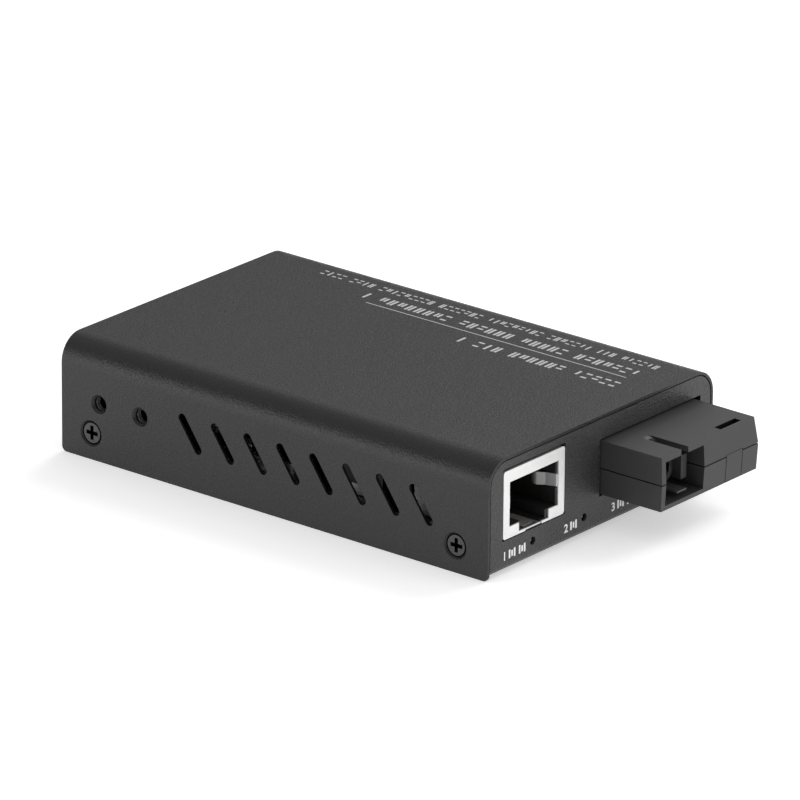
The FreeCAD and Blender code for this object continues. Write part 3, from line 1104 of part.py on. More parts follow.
def make_parts():
    parts = {
        "top_cover": make_top_cover(),
        "base_tray": make_base_tray(),
        "cover_screws": make_cover_screws(),
        "main_board": make_main_board(),
        "board_standoffs": make_board_standoffs(),
        "board_screws": make_board_screws(),
        "rj45_shield": make_rj45_shield(),
        "rj45_housing": make_rj45_housing(),
        "rj45_contacts": make_rj45_contacts(),
        "optic_upper_shell": make_optic_upper_shell(),
        "optic_lower_shell": make_optic_lower_shell(),
        "optic_latch_clip": make_optic_latch_clip(),
        "optic_receptacle": make_optic_receptacle(),
        "optic_barrel": make_optic_barrel(),
        "optic_laser_can": make_optic_laser_can(),
        "optic_photodiode_can": make_optic_photodiode_can(),
        "optic_board": make_optic_board(),
        "optic_pins": make_optic_pins(),
        "dc_jack_housing": make_dc_jack_housing(),
        "dc_jack_pin": make_dc_jack_pin(),
        "dc_jack_spring": make_dc_jack_spring(),
        "transformer": leaded_chip((JACK_X, TRANSFORMER_DEPTH), TRANSFORMER_SIZE, TRANSFORMER_LEAD_COUNT,
                                   TRANSFORMER_PITCH, TRANSFORMER_LEAD, "y"),
        "main_chip": leaded_chip(MAIN_CHIP_AT, MAIN_CHIP_SIZE, MAIN_CHIP_LEAD_COUNT,
                                 MAIN_CHIP_PITCH, MAIN_CHIP_LEAD, "xy"),
        "memory_chip": leaded_chip(MEMORY_CHIP_AT, MEMORY_CHIP_SIZE, MEMORY_CHIP_LEAD_COUNT,
                                   MEMORY_CHIP_PITCH, MEMORY_CHIP_LEAD, "y"),
        "crystal": make_crystal(),
        "power_inductor": make_power_inductor(),
        "regulator": make_regulator(),
        "diode": make_diode(),
        "chip_resistors": chip_row(RESISTOR_AT, RESISTOR_COUNT, RESISTOR_SIZE),
        "chip_capacitors": chip_row(CHIP_CAP_AT, CHIP_CAP_COUNT, CHIP_CAP_SIZE),
    }
    for i, x in enumerate(LAMP_XS):
        parts[f"led_lamp_{i + 1}"] = make_led_lamp(x)
    for i, at in enumerate(CAPACITOR_AT):
        parts[f"capacitor_{i + 1}"] = make_capacitor(at)
    return parts


os.makedirs("parts", exist_ok=True)
for name, shape in make_parts().items():
    shape.exportStep(f"parts/{name}.step")
    box = shape.BoundBox
    print(f"{name:22s} solids {len(shape.Solids)} valid {shape.isValid()} volume {shape.Volume:9.2f} mm3"
          f"  x {box.XMin:.2f} {box.XMax:.2f}  y {box.YMin:.2f} {box.YMax:.2f}"
          f"  z {box.ZMin:.2f} {box.ZMax:.2f}")
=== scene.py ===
"""Finishes, print, fine details and a plain studio for a small fibre media converter."""

import json
import math
import random

import bpy
from bpy.props import FloatProperty, FloatVectorProperty, IntProperty, PointerProperty
from mathutils import Matrix, Vector


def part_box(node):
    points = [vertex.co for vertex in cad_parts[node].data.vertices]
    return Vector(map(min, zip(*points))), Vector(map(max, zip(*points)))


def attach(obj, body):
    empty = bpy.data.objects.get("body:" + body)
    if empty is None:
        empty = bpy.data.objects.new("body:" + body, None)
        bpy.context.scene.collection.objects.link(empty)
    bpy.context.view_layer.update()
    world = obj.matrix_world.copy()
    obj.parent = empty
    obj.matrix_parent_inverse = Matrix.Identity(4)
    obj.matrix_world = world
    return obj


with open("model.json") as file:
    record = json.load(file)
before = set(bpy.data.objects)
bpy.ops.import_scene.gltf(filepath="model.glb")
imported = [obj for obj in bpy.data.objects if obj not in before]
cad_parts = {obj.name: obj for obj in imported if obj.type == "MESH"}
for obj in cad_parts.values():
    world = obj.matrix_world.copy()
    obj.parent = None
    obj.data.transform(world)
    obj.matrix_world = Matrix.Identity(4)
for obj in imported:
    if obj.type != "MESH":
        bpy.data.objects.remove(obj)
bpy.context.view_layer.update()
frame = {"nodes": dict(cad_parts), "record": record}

bl_info = {
    "name": "Fibre Media Converter",
    "version": (1, 0, 0),
    "blender": (4, 5, 0),
    "location": "3D Viewport > Sidebar > Converter",
    "description": "Finishes, print, fine details and stage of a small fibre media converter",
    "category": "Object",
}

MM = 0.001
NODES = frame["nodes"]

# Shares of the colour taken away as painted shade where a sheet bends back into a socket, and in a
# pocket.
INNER_SHADE = 0.6
POCKET_SHADE = 0.95

# Tool marks on an end and on a side, the depth of a thread's foot in its wall, and the boards'
# tracks, vias and the reach of their solder mask from each face.
FACING_PITCH = 0.06 * MM
TURNING_PITCH = 0.08 * MM
THREAD_ROOT = 0.01 * MM
TRACK_LENGTH = 4.2 * MM
VIA_SPACING = 2.3 * MM
MASK_REACH = 0.1 * MM

ZINC = (0.6, 0.61, 0.6)
GOLD = (0.83, 0.58, 0.2)
WORN_GOLD = (0.88, 0.7, 0.38)
MASK_GREEN = (0.004, 0.022, 0.01)
TRACK_GREEN = (0.009, 0.048, 0.021)
VIA_TIN = (0.62, 0.6, 0.52)
BARE_BOARD = (0.34, 0.32, 0.15)
MILKY_EPOXY = (0.36, 0.38, 0.34)
CERAMIC_TAN = (0.36, 0.24, 0.13)


# ---- Places taken from the frame -----------------------------------------------------------------

def corners(node):
    """Lowest and highest corner of a CAD node's box."""
    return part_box(node)


def middle(node):
    """Centre of a CAD node's box."""
    low, high = corners(node)
    return (low + high) / 2


COVER_LOW, COVER_HIGH = corners("top_cover")
PANEL_FACE = corners("base_tray")[0].y
MOUNTS = {mount["name"]: mount for mount in frame["record"]["mounts"]}


# ---- Shader trees --------------------------------------------------------------------------------

class Wire:
    """An output socket that takes part in sums, products and comparisons with wires and numbers."""

    def __init__(self, builder, socket):
        self.builder = builder
        self.socket = socket

    def _math(self, operation, first, second=0.0):
        """Adds one Math node."""
        return self.builder.node("Math", {"operation": operation}, {0: first, 1: second})

    def __add__(self, other):
        return self._math("ADD", self, other)

    __radd__ = __add__

    def __sub__(self, other):
        return self._math("SUBTRACT", self, other)

    def __rsub__(self, other):
        return self._math("SUBTRACT", other, self)

    def __mul__(self, other):
        return self._math("MULTIPLY", self, other)

    __rmul__ = __mul__

    def __gt__(self, other):
        return self._math("GREATER_THAN", self, other)

    def __lt__(self, other):
        return self._math("LESS_THAN", self, other)

    def __abs__(self):
        return self._math("ABSOLUTE", self)

    def sine(self):
        """Sine of the value, taken as an angle in radians."""
        return self._math("SINE", self)

    def lower_of(self, other):
        """The smaller of two values."""
        return self._math("MINIMUM", self, other)

    def higher_of(self, other):
        """The greater of two values."""
        return self._math("MAXIMUM", self, other)


class Tree:
    """A node tree under construction."""

    def __init__(self, tree):
        self.tree = tree

    def link(self, socket, value):
        """Puts a number, a colour or a wire on a socket."""
        if isinstance(value, Wire):
            self.tree.links.new(value.socket, socket)
        else:
            socket.default_value = value

    def node(self, kind, settings=None, inputs=None, output=0):
        """Adds a node: its settings first, then the values or links of its sockets."""
        node = self.tree.nodes.new("ShaderNode" + kind)
        for name, value in (settings or {}).items():
            if name == "stops":
                self._set_stops(node.color_ramp, value)
            else:
                setattr(node, name, value)
        for name, value in (inputs or {}).items():
            self.link(node.inputs[name], value)
        return Wire(self, node.outputs[output])

    @staticmethod
    def _set_stops(ramp, stops):
        """Gives a new ramp its (position, level) stops, in order."""
        while len(ramp.elements) < len(stops):
            ramp.elements.new(1.0)
        for element, (position, level) in zip(ramp.elements, stops):
            element.position = position
            element.color = (level, level, level, 1.0)


class Finish(Tree):
    """A material under construction: its tree, its shader and the nodes that feed it."""

    def __init__(self, name, **constants):
        self.material = bpy.data.materials.new(name)
        self.material.use_nodes = True
        super().__init__(self.material.node_tree)
        self.shader = self.tree.nodes["Principled BSDF"]
        for socket, value in constants.items():
            self.feed(socket.replace("_", " "), value)
        self.place = self.node("TexCoord", output="Object")

    def feed(self, socket, value):
        """Puts a value or a wire on one of the shader's own sockets."""
        self.link(self.shader.inputs[socket], value)

    def noise(self, grain, detail=2.0, stretch=(1.0, 1.0, 1.0)):
        """Noise whose spots are about the given number of metres across."""
        scale = tuple(along / grain for along in stretch)
        spot = self.node("VectorMath", {"operation": "MULTIPLY"}, {0: self.place, 1: scale})
        return self.node("TexNoise", {}, {"Vector": spot, "Scale": 1.0, "Detail": detail})

    def cells(self, size):
        """Distance from the middles of cells of about the given size in metres."""
        return self.node("TexVoronoi", {}, {"Vector": self.place, "Scale": 1.0 / size}, "Distance")

    def ramp(self, factor, *stops):
        """Passes a factor through a ramp of (position, level) stops."""
        return self.node("ValToRGB", {"stops": stops}, {"Fac": factor})

    def mix(self, factor, first, second):
        """Blends two colours; sockets 6, 7 and output 2 are the node's colour ones."""
        blend = {0: factor, 6: _rgba(first), 7: _rgba(second)}
        return self.node("Mix", {"data_type": "RGBA"}, blend, 2)

    def shade(self, colour, tone):
        """A colour made lighter or darker by a tone about 1."""
        scaled = {0: tuple(colour)[:3], "Scale": tone}
        return self.node("VectorMath", {"operation": "SCALE"}, scaled)

    def along(self, axis):
        """The coordinate along x, y or z, in metres."""
        return self.node("SeparateXYZ", {}, {0: self.place}, "XYZ".index(axis.upper()))

    def distance(self, point, flatten=(1.0, 1.0, 1.0)):
        """Distance from a point, measured only across the axes that flatten keeps."""
        here = self.node("VectorMath", {"operation": "MULTIPLY"}, {0: self.place, 1: flatten})
        there = tuple(value * keep for value, keep in zip(point, flatten))
        return self.node("VectorMath", {"operation": "DISTANCE"}, {0: here, 1: there}, "Value")

    def inside(self, low, high):
        """One inside a box given by its two corners, none outside it."""
        result = 1.0
        for axis, near, far in zip("xyz", low, high):
            here = self.along(axis)
            result = (here > near) * (here < far) * result
        return result

    def bump(self, height, depth):
        """Raises the surface by a height times a depth in metres."""
        relief = {"Height": height, "Distance": depth, "Strength": 1.0}
        self.feed("Normal", self.node("Bump", {}, relief))


def _rgba(colour):
    """A colour with its alpha, or a wire as it is."""
    if isinstance(colour, Wire):
        return colour
    return (*tuple(colour)[:3], 1.0)


def grey(level, warm=0.0):
    """A neutral colour of one level, a little warmer if asked."""
    return (level * (1 + warm), level, level * (1 - warm))


def coat(node, finish):
    """Gives a CAD node or a new piece its finish."""
    mesh_object = NODES[node] if isinstance(node, str) else node
    if not mesh_object.material_slots:
        mesh_object.data.materials.append(finish.material)
    for slot in mesh_object.material_slots:
        slot.material = finish.material


# ---- Finishes ------------------------------------------------------------------------------------

def powder_coat(name, colour, roughness, grain, speck_size, depth):
    """Fine matt powder coat: a dense grain, a faint orange peel and slow clouds of tone.

    The grain is the contrast of its specks, and the depth is how far they stand out.
    """
    finish = Finish(name, IOR=1.44)
    speck = finish.noise(speck_size, detail=3.0)
    peel = finish.noise(0.9 * MM, detail=1.0)
    cloud = finish.noise(18 * MM, detail=1.0)
    tone = 1.0 + (speck - 0.5) * grain + (cloud - 0.5) * (grain * 0.4)
    finish.feed("Base Color", finish.shade(colour, tone))
    finish.feed("Roughness", roughness + (speck - 0.5) * 0.2)
    finish.bump(speck + peel * 0.4, depth)
    return finish


def plated_sheet(name, colour, roughness, grain_axis, metallic=1.0, painted_shade_from=None):
    """Plated sheet with rolling lines along one axis, faint smudges and fine scratches.

    Behind a place along y, if one is given, it is darker: painted shade, as where it bends back
    into a socket.
    """
    stretch = tuple(0.06 if axis == grain_axis else 1.0 for axis in "xyz")
    finish = Finish(name, Metallic=metallic)
    lines = finish.noise(0.09 * MM, stretch=stretch)
    smudge = finish.noise(3.0 * MM, detail=3.0)
    tone = 0.94 + lines * 0.08 + smudge * 0.05
    # Painted shade: darker behind the given place along y, as inside a socket.
    if painted_shade_from is not None:
        tone = tone * (1.0 - (finish.along("y") > painted_shade_from) * INNER_SHADE)
    finish.feed("Base Color", finish.shade(colour, tone))
    dulled = finish.ramp(smudge, (0.45, 0.0), (0.75, 1.0))
    finish.feed("Roughness", roughness + lines * 0.08 + dulled * 0.12)
    finish.bump(lines + smudge * 0.5, 0.004 * MM)
    return finish


def turned_metal(name, colour, roughness, axis_point):
    """Turned metal: fine tool rings about an axis along y, with a little colour change."""
    finish = Finish(name, Metallic=1.0)
    radius = finish.distance(axis_point, (1.0, 0.0, 1.0))
    rings = (radius * (2 * math.pi / FACING_PITCH)).sine()
    turns = (finish.along("y") * (2 * math.pi / TURNING_PITCH)).sine()
    smudge = finish.noise(1.2 * MM)
    finish.feed("Base Color", finish.shade(colour, 0.9 + smudge * 0.2))
    finish.feed("Roughness", roughness + rings * 0.03 + turns * 0.03)
    finish.bump(rings + turns, 0.0015 * MM)
    return finish


def cast_plastic(name, colour, roughness, texture, depth, pockets=()):
    """Moulded plastic with a spark-eroded texture and slow flow marks, and black painted shade in
    given hollows.
    """
    finish = Finish(name, IOR=1.42)
    spark = finish.noise(texture)
    pits = finish.cells(texture * 1.6)
    flow = finish.noise(6 * MM)
    tone = 0.88 + spark * 0.16 + flow * 0.1
    # Painted shade: black inside each given box, as down in a hollow.
    for low, high in pockets:
        tone = tone * (1.0 - finish.inside(low, high) * POCKET_SHADE)
    finish.feed("Base Color", finish.shade(colour, tone))
    finish.feed("Roughness", roughness + (spark - 0.5) * 0.14)
    finish.bump(spark * 0.7 + pits * 0.5, depth)
    return finish


def gold_flash(name):
    """Gold flash over spring bronze, a little paler where it is worn."""
    finish = Finish(name, Metallic=1.0)
    wear = finish.noise(0.7 * MM, detail=3.0)
    worn = finish.ramp(wear, (0.45, 0.0), (0.65, 1.0))
    finish.feed("Base Color", finish.mix(worn, GOLD, WORN_GOLD))
    finish.feed("Roughness", 0.22 + wear * 0.16)
    finish.bump(wear, 0.004 * MM)
    return finish


def solder_mask(name, low, high):
    """Green solder mask over tracks, with tinned rings round its vias and a bare cut edge."""
    finish = Finish(name, IOR=1.52)
    between, track = _rgba(grey(0.0)), _rgba(grey(1.0))
    runs = finish.node("TexBrick", {"offset": 0.5, "squash": 0.6, "squash_frequency": 3}, {
        "Vector": finish.place, "Scale": 1.0 / TRACK_LENGTH, "Mortar Size": 0.06,
        "Color1": between, "Color2": between, "Mortar": track})
    vias = finish.cells(VIA_SPACING)
    ring = finish.ramp(vias, (0.07, 0.0), (0.08, 1.0), (0.13, 1.0), (0.14, 0.0))
    weave = finish.noise(0.3 * MM)
    height = finish.along("z")
    edge = (height > low + MASK_REACH) * (height < high - MASK_REACH)
    mask = finish.mix(runs, MASK_GREEN, TRACK_GREEN)
    tinned = finish.mix(ring, mask, VIA_TIN)
    finish.feed("Base Color", finish.mix(edge, tinned, BARE_BOARD))
    finish.feed("Metallic", ring * (1.0 - edge))
    finish.feed("Roughness", 0.28 + weave * 0.14 + edge * 0.35)
    finish.bump(runs + ring + weave * 0.3, 0.02 * MM)
    return finish


def moulded_chip(name, node):
    """Black epoxy body with a ground grain, a pale dot at its first lead and tinned leads."""
    low, high = corners(node)
    finish = Finish(name, IOR=1.55)
    grain = finish.noise(0.12 * MM)
    dot_inset, dot_radius, lead_reach = 2.4 * MM, 0.45 * MM, 1.0 * MM
    first_lead = (low.x + dot_inset, low.y + dot_inset, high.z)
    dot = finish.distance(first_lead) < dot_radius
    lead = finish.along("z") < low.z + (high.z - low.z) * 0.35
    outside = abs(finish.along("x") - middle(node).x) > (high.x - low.x) / 2 - lead_reach
    metal = lead * outside
    body = finish.mix(dot, grey(0.022), grey(0.16))
    finish.feed("Base Color", finish.mix(metal, body, grey(0.6)))
    finish.feed("Metallic", metal)
    finish.feed("Roughness", 0.42 + grain * 0.2)
    finish.bump(grain, 0.01 * MM)
    return finish


def sintered(name, colour, roughness):
    """Pressed and sintered grain, as of ferrite and ceramic."""
    finish = Finish(name)
    grain = finish.cells(0.16 * MM)
    cloud = finish.noise(0.8 * MM, detail=3.0)
    finish.feed("Base Color", finish.shade(colour, 0.8 + grain * 0.25 + cloud * 0.2))
    finish.feed("Roughness", roughness + cloud * 0.15)
    finish.bump(grain, 0.02 * MM)
    return finish


def end_capped(name, node, colour):
    """Chip parts whose two ends, front and rear of their row, are tinned."""
    low, high = corners(node)
    finish = Finish(name)
    grain = finish.noise(0.1 * MM)
    cap = abs(finish.along("y") - middle(node).y) > (high.y - low.y) * 0.3
    body = finish.shade(colour, 0.8 + grain * 0.4)
    finish.feed("Base Color", finish.mix(cap, body, grey(0.66, 0.02)))
    finish.feed("Metallic", cap)
    finish.feed("Roughness", 0.35 + grain * 0.2)
    finish.bump(grain, 0.006 * MM)
    return finish


def capacitor_can(name, node):
    """Bright drawn can with a printed half-moon on its end, on a black moulded base."""
    low, high = corners(node)
    centre = middle(node)
    finish = Finish(name)
    brushed = finish.noise(0.1 * MM, stretch=(1.0, 1.0, 0.05))
    print_depth, print_offset, base_height = 0.05 * MM, 1.2 * MM, 0.95 * MM
    end_face = finish.along("z") > high.z - print_depth
    marked = end_face * (finish.along("y") < centre.y - print_offset)
    base = finish.along("z") < low.z + base_height
    metal = 1.0 - base
    can = finish.mix(marked, finish.shade(grey(0.72), 0.85 + brushed * 0.25), grey(0.03))
    finish.feed("Base Color", finish.mix(base, can, grey(0.02)))
    finish.feed("Metallic", metal * (1.0 - marked))
    finish.feed("Roughness", 0.26 + brushed * 0.12 + base * 0.25)
    finish.bump(brushed, 0.004 * MM)
    return finish


def lamp_epoxy(name):
    """White reflector body and milky lens of a small lamp that is off."""
    finish = Finish(name, IOR=1.5, Coat_Weight=0.4)
    haze = finish.noise(0.3 * MM)
    finish.feed("Base Color", finish.shade(MILKY_EPOXY, 0.85 + haze * 0.3))
    finish.feed("Roughness", 0.22 + haze * 0.15)
    finish.bump(haze, 0.004 * MM)
    return finish


def black_screw(name, settings):
    """Blackened steel: a satin oxide on the head's face, and dull, near black painted shade down in
    the recess and round the head's rim.
    """
    low, high = corners("cover_screws")
    finish = Finish(name)
    face_depth = 0.06 * MM
    # Painted shade: near black below the head's face, down in the recess.
    recess_shade = abs(finish.along("x") - (low.x + high.x) / 2) < (high.x - low.x) / 2 - face_depth
    half_height = (high.z - low.z) / 2
    across = (0.0, 1.0, 1.0)
    level = (low.z + high.z) / 2
    near_front = finish.distance((0.0, low.y + half_height, level), across)
    near_rear = finish.distance((0.0, high.y - half_height, level), across)
    # Painted shade: a near black ring at the head's rim, as in the gap round the head.
    rim = near_front.lower_of(near_rear) > half_height - settings.screw_rim
    painted_shade = recess_shade.higher_of(rim)
    scuff = finish.noise(0.3 * MM, detail=3.0)
    face = finish.shade(settings.screw_colour, 0.4 + scuff * 1.2)
    finish.feed("Base Color", finish.mix(painted_shade, face, grey(0.004)))
    finish.feed("Metallic", 0.85 + painted_shade * 0.15)
    finish.feed("Roughness", 0.3 + scuff * 0.2 + painted_shade * 0.3)
    finish.bump(scuff, 0.012 * MM)
    return finish


def silkscreen(name, colour):
    """White screen-print ink with a dry, slightly broken surface."""
    finish = Finish(name, IOR=1.45)
    dry = finish.noise(0.12 * MM, detail=3.0)
    finish.feed("Base Color", finish.shade(colour, 0.82 + dry * 0.3))
    finish.feed("Roughness", 0.5 + dry * 0.2)
    finish.bump(dry, 0.004 * MM)
    return finish


def studio_floor(name, colour, glow):
    """Seamless pale paper with a faint mottling, lit from below by a light table."""
    finish = Finish(name, Emission_Color=(1.0, 1.0, 1.0, 1.0), Emission_Strength=glow)
    mottle = finish.noise(0.4)
    finish.feed("Base Color", finish.shade(colour, 0.985 + mottle * 0.03))
    finish.feed("Roughness", 0.8 + mottle * 0.1)
    return finish


# ---- Meshes --------------------------------------------------------------------------------------

def new_piece(name, vertices, faces, finish):
    """A mesh piece of the object, which rides on the root body and takes a finish."""
    mesh = bpy.data.meshes.new(name)
    mesh.from_pydata([tuple(v) for v in vertices], [], faces)
    mesh.update()
    piece = bpy.data.objects.new(name, mesh)
    bpy.context.scene.collection.objects.link(piece)
    coat(piece, finish)
    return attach(piece, "root")


class Solid:
    """Vertices and faces gathered for one piece."""

    def __init__(self):
        self.vertices = []
        self.faces = []

    def prism(self, outline, rise):
        """A closed prism over an outline of 3-D points, raised by a vector."""
        start = len(self.vertices)
        count = len(outline)
        self.vertices += [Vector(p) for p in outline]
        self.vertices += [Vector(p) + rise for p in outline]
        self.faces.append([start + i for i in reversed(range(count))])
        self.faces.append([start + count + i for i in range(count)])
        for i in range(count):
            j = (i + 1) % count
            self.faces.append([start + i, start + j, start + count + j, start + count + i])

    def thread(self, mouth, inward, bore, ridge, pitch, turns, steps=28):
        """A helical ridge on a bore's wall, from its mouth inwards."""
        side = inward.orthogonal().normalized()
        across = inward.cross(side)
        start = len(self.vertices)
        last = int(turns * steps)
        root = bore + THREAD_ROOT
        half_foot = 0.45 * pitch
        lead_in = 0.6 * pitch
        for step in range(last + 1):
            angle = 2 * math.pi * step / steps
            fade = max(0.1, min(1.0, step / steps * 2, (last - step) / steps * 2))
            out = side * math.cos(angle) + across * math.sin(angle)
            depth = lead_in + pitch * step / steps
            crest = root - (ridge + THREAD_ROOT) * fade
            for radius, shift in ((root, -half_foot), (crest, 0.0), (root, half_foot)):
                self.vertices.append(mouth + out * radius + inward * (depth + shift))
        for step in range(last):
            here = start + 3 * step
            for a, b in ((0, 1), (1, 2), (2, 0)):
                self.faces.append([here + a, here + b, here + 3 + b, here + 3 + a])
        self.faces.append([start, start + 2, start + 1])
        end = start + 3 * last
        self.faces.append([end, end + 1, end + 2])

    def piece(self, name, finish, slot):
        """Makes the gathered vertices and faces a piece."""
        return new_piece(name, self.vertices, self.faces, finish)


def rectangle(centre, across, along, width, length):
    """Four corners of a flat rectangle about a centre."""
    w, l = across * (width / 2), along * (length / 2)
    return [centre - w - l, centre + w - l, centre + w + l, centre - w + l]


# ---- Settings ------------------------------------------------------------------------------------

def _colour(name, description, default):
    """A colour that a user may change."""
    return FloatVectorProperty(name=name, description=description, default=default,
                               subtype="COLOR", size=3, min=0.0, max=1.0)


def _length(name, description, default):
    """A length that a user may change, in metres."""
    return FloatProperty(name=name, description=description, default=default, min=0.0,
                         subtype="DISTANCE", unit="LENGTH", precision=5)


def _power(name, description, default):
    """A lamp's power that a user may change, in watts."""
    return FloatProperty(name=name, description=description, default=default, min=0.0,
                         subtype="POWER", unit="POWER")


def _angle(name, description, degrees):
    """An angle that a user may change; its default is given in degrees."""
    return FloatProperty(name=name, description=description, default=math.radians(degrees),
                         subtype="ANGLE", unit="ROTATION")


class ConverterFinishes(bpy.types.PropertyGroup):
    """Colours and gloss of the casing, the jack and the transceiver."""

    # Painted light: the tray's coat is set lighter than the cover's, so that the front panel reads
    # as lit.
    cover_colour: _colour("Cover", "Powder coat of the cover", (0.013, 0.013, 0.0133))
    tray_colour: _colour("Tray", "Powder coat of the tray and its panels", (0.036, 0.036, 0.0365))
    coat_roughness: FloatProperty(
        name="Coat roughness", description="Roughness of the powder coat",
        default=0.36, min=0.0, max=1.0, subtype="FACTOR")
    cover_grain: FloatProperty(
        name="Cover grain", description="Contrast of the coat's grain on the cover",
        default=0.9, min=0.0, max=3.0)
    tray_grain: FloatProperty(
        name="Tray grain", description="Contrast of the coat's grain on the tray",
        default=2.4, min=0.0, max=3.0)
    screw_colour: _colour("Screws", "Oxide on the cover screws", (0.08, 0.08, 0.082))
    # The screw rim width sets the ring of painted shade round each screw head.
    screw_rim: _length("Screw rim", "Width of the dull ring at the screw heads' rim", 0.28 * MM)
    shield_colour: _colour("Shield", "Plating of the copper jack's shield", (0.84, 0.84, 0.835))
    optic_colour: _colour("Transceiver", "Moulded shells of the transceiver", (0.04, 0.04, 0.0407))
    clip_colour: _colour("Latch clip", "Moulded latch clip in the fibre port", (0.05, 0.05, 0.0515))


class ConverterPrint(bpy.types.PropertyGroup):
    """Sizes of the white print on the cover and the front panel."""

    cover_ink: _colour("Cover ink", "Thin screen-print ink on the cover", (0.6, 0.6, 0.6))
    panel_ink: _colour("Panel ink", "Screen-print ink on the front panel", (0.88, 0.88, 0.88))
    ink_thickness: _length("Ink thickness", "Height of the ink above the coat", 0.012 * MM)
    rule_width: _length("Rule width", "Width of the long rule on the cover", 0.2 * MM)
    panel_digit: _length("Panel numbers", "Height of the lamp numbers", 1.5 * MM)
    seed: IntProperty(name="Seed", description="Seed of the marks' rhythm", default=7, min=0)


class ConverterStage(bpy.types.PropertyGroup):
    """Floor, lamps and camera of the studio."""

    floor_colour: _colour("Floor", "Seamless paper under the object", (0.96, 0.96, 0.96))
    floor_size: _length("Floor size", "Side of the paper", 12.0)
    floor_glow: FloatProperty(
        name="Floor glow", description="Light that a light table sends through the paper",
        default=0.44, min=0.0)
    front_power: _power("Front light", "Wide low soft light before the ports", 7.2)
    right_power: _power("Right light", "Wide soft light over the right side", 12.9)
    strip_power: _power("Strip light", "Narrow light near the floor behind the left side", 4.9)
    rim_power: _power("Rim light", "Faint light behind the right side", 0.68)
    horizon_level: FloatProperty(
        name="Horizon", description="Brightness of the room near the floor",
        default=0.0, min=0.0)
    zenith_level: FloatProperty(
        name="Zenith", description="Brightness of the room overhead",
        default=0.61, min=0.0)
    lens: FloatProperty(
        name="Lens", description="Focal length of the camera",
        default=379.35, min=1.0, subtype="DISTANCE_CAMERA", unit="CAMERA")
    distance: _length("Camera distance", "From the camera to the point that it looks at", 1.33902)
    azimuth: _angle("Azimuth", "Camera's bearing, from the front towards the left", 50.944)
    elevation: _angle("Elevation", "Camera's height above the horizon", 20.832)
    roll: _angle("Roll", "Camera's turn about its own axis", 0.4654)


# ---- Operators -----------------------------------------------------------------------------------

class CoatCasing(bpy.types.Operator):
    """Powder coat on the folded cover and tray"""

    bl_idname = "converter.coat_casing"
    bl_label = "Coat casing"

    def execute(self, context):
        look = context.scene.converter_finishes
        roughness = look.coat_roughness
        coat("top_cover", powder_coat("cover_coat", look.cover_colour, roughness, look.cover_grain,
                                      speck_size=0.3 * MM, depth=0.1 * MM))
        coat("base_tray", powder_coat("tray_coat", look.tray_colour, roughness, look.tray_grain,
                                      speck_size=0.36 * MM, depth=0.13 * MM))
        return {"FINISHED"}


class FinishScrews(bpy.types.Operator):
    """Oxide on the cover screws, zinc on the board's screws and standoffs"""

    bl_idname = "converter.finish_screws"
    bl_label = "Finish screws"

    def execute(self, context):
        coat("cover_screws", black_screw("screw_oxide", context.scene.converter_finishes))
        zinc = plated_sheet("zinc_plate", ZINC, roughness=0.3, grain_axis="z")
        coat("board_screws", zinc)
        coat("board_standoffs", zinc)
        return {"FINISHED"}


class FinishCopperJack(bpy.types.Operator):
    """Plated shield, moulded body and gold contacts of the copper jack"""

    bl_idname = "converter.finish_copper_jack"
    bl_label = "Finish copper jack"

    front_wall = 0.45 * MM

    def execute(self, context):
        look = context.scene.converter_finishes
        # Painted shade inside the shield, behind its front wall.
        painted_shade_from = corners("rj45_shield")[0].y + self.front_wall
        coat("rj45_shield", plated_sheet("shield_nickel", look.shield_colour, roughness=0.4,
                                         grain_axis="x", metallic=0.5, painted_shade_from=painted_shade_from))
        coat("rj45_housing", cast_plastic("jack_plastic", grey(0.018), roughness=0.42,
                                          texture=0.2 * MM, depth=0.01 * MM))
        coat("rj45_contacts", gold_flash("contact_gold"))
        return {"FINISHED"}


class FinishTransceiver(bpy.types.Operator):
    """Moulded shells, latch clip and turned optics of the transceiver"""

    bl_idname = "converter.finish_transceiver"
    bl_label = "Finish transceiver"

    # Window in the upper shell's roof: half sizes across and along, its middle from the shells'
    # right end and from their front, and the depths where its black painted shade begins and ends,
    # all in millimetres.
    window = (2.86, 0.74, 6.5, 1.7, 0.06, 1.5)

    def execute(self, context):
        look = context.scene.converter_finishes
        shell = cast_plastic("optic_shell", look.optic_colour, roughness=0.5,
                             texture=0.14 * MM, depth=0.02 * MM, pockets=self.pockets())
        coat("optic_upper_shell", shell)
        coat("optic_lower_shell", shell)
        coat("optic_latch_clip", cast_plastic("optic_clip", look.clip_colour, roughness=0.45,
                                              texture=0.2 * MM, depth=0.01 * MM))
        axis = middle("optic_receptacle")
        coat("optic_receptacle", turned_metal("receptacle_oxide", grey(0.05), roughness=0.45,
                                              axis_point=axis))
        for node in ("optic_barrel", "optic_laser_can", "optic_photodiode_can"):
            coat(node, turned_metal(node + "_steel", grey(0.62), roughness=0.24, axis_point=axis))
        low, high = corners("optic_board")
        coat("optic_board", solder_mask("optic_board_mask", low.z, high.z))
        coat("optic_pins", gold_flash("pin_gold"))
        return {"FINISHED"}

    def pockets(self):
        """Box of the window's walls, just under the roof's face, which takes black painted shade.
        """
        low, high = corners("optic_upper_shell")
        half_x, half_y, inset, depth, lip, floor = (value * MM for value in self.window)
        spot = Vector((high.x - inset, low.y + depth, high.z - lip))
        reach = Vector((half_x, half_y, 0.0))
        return [(spot - reach - Vector((0.0, 0.0, floor)), spot + reach)]


class FinishLamps(bpy.types.Operator):
    """Milky epoxy of the three status lamps"""

    bl_idname = "converter.finish_lamps"
    bl_label = "Finish lamps"

    def execute(self, context):
        epoxy = lamp_epoxy("lamp_epoxy")
        for node in ("led_lamp_1", "led_lamp_2", "led_lamp_3"):
            coat(node, epoxy)
        return {"FINISHED"}


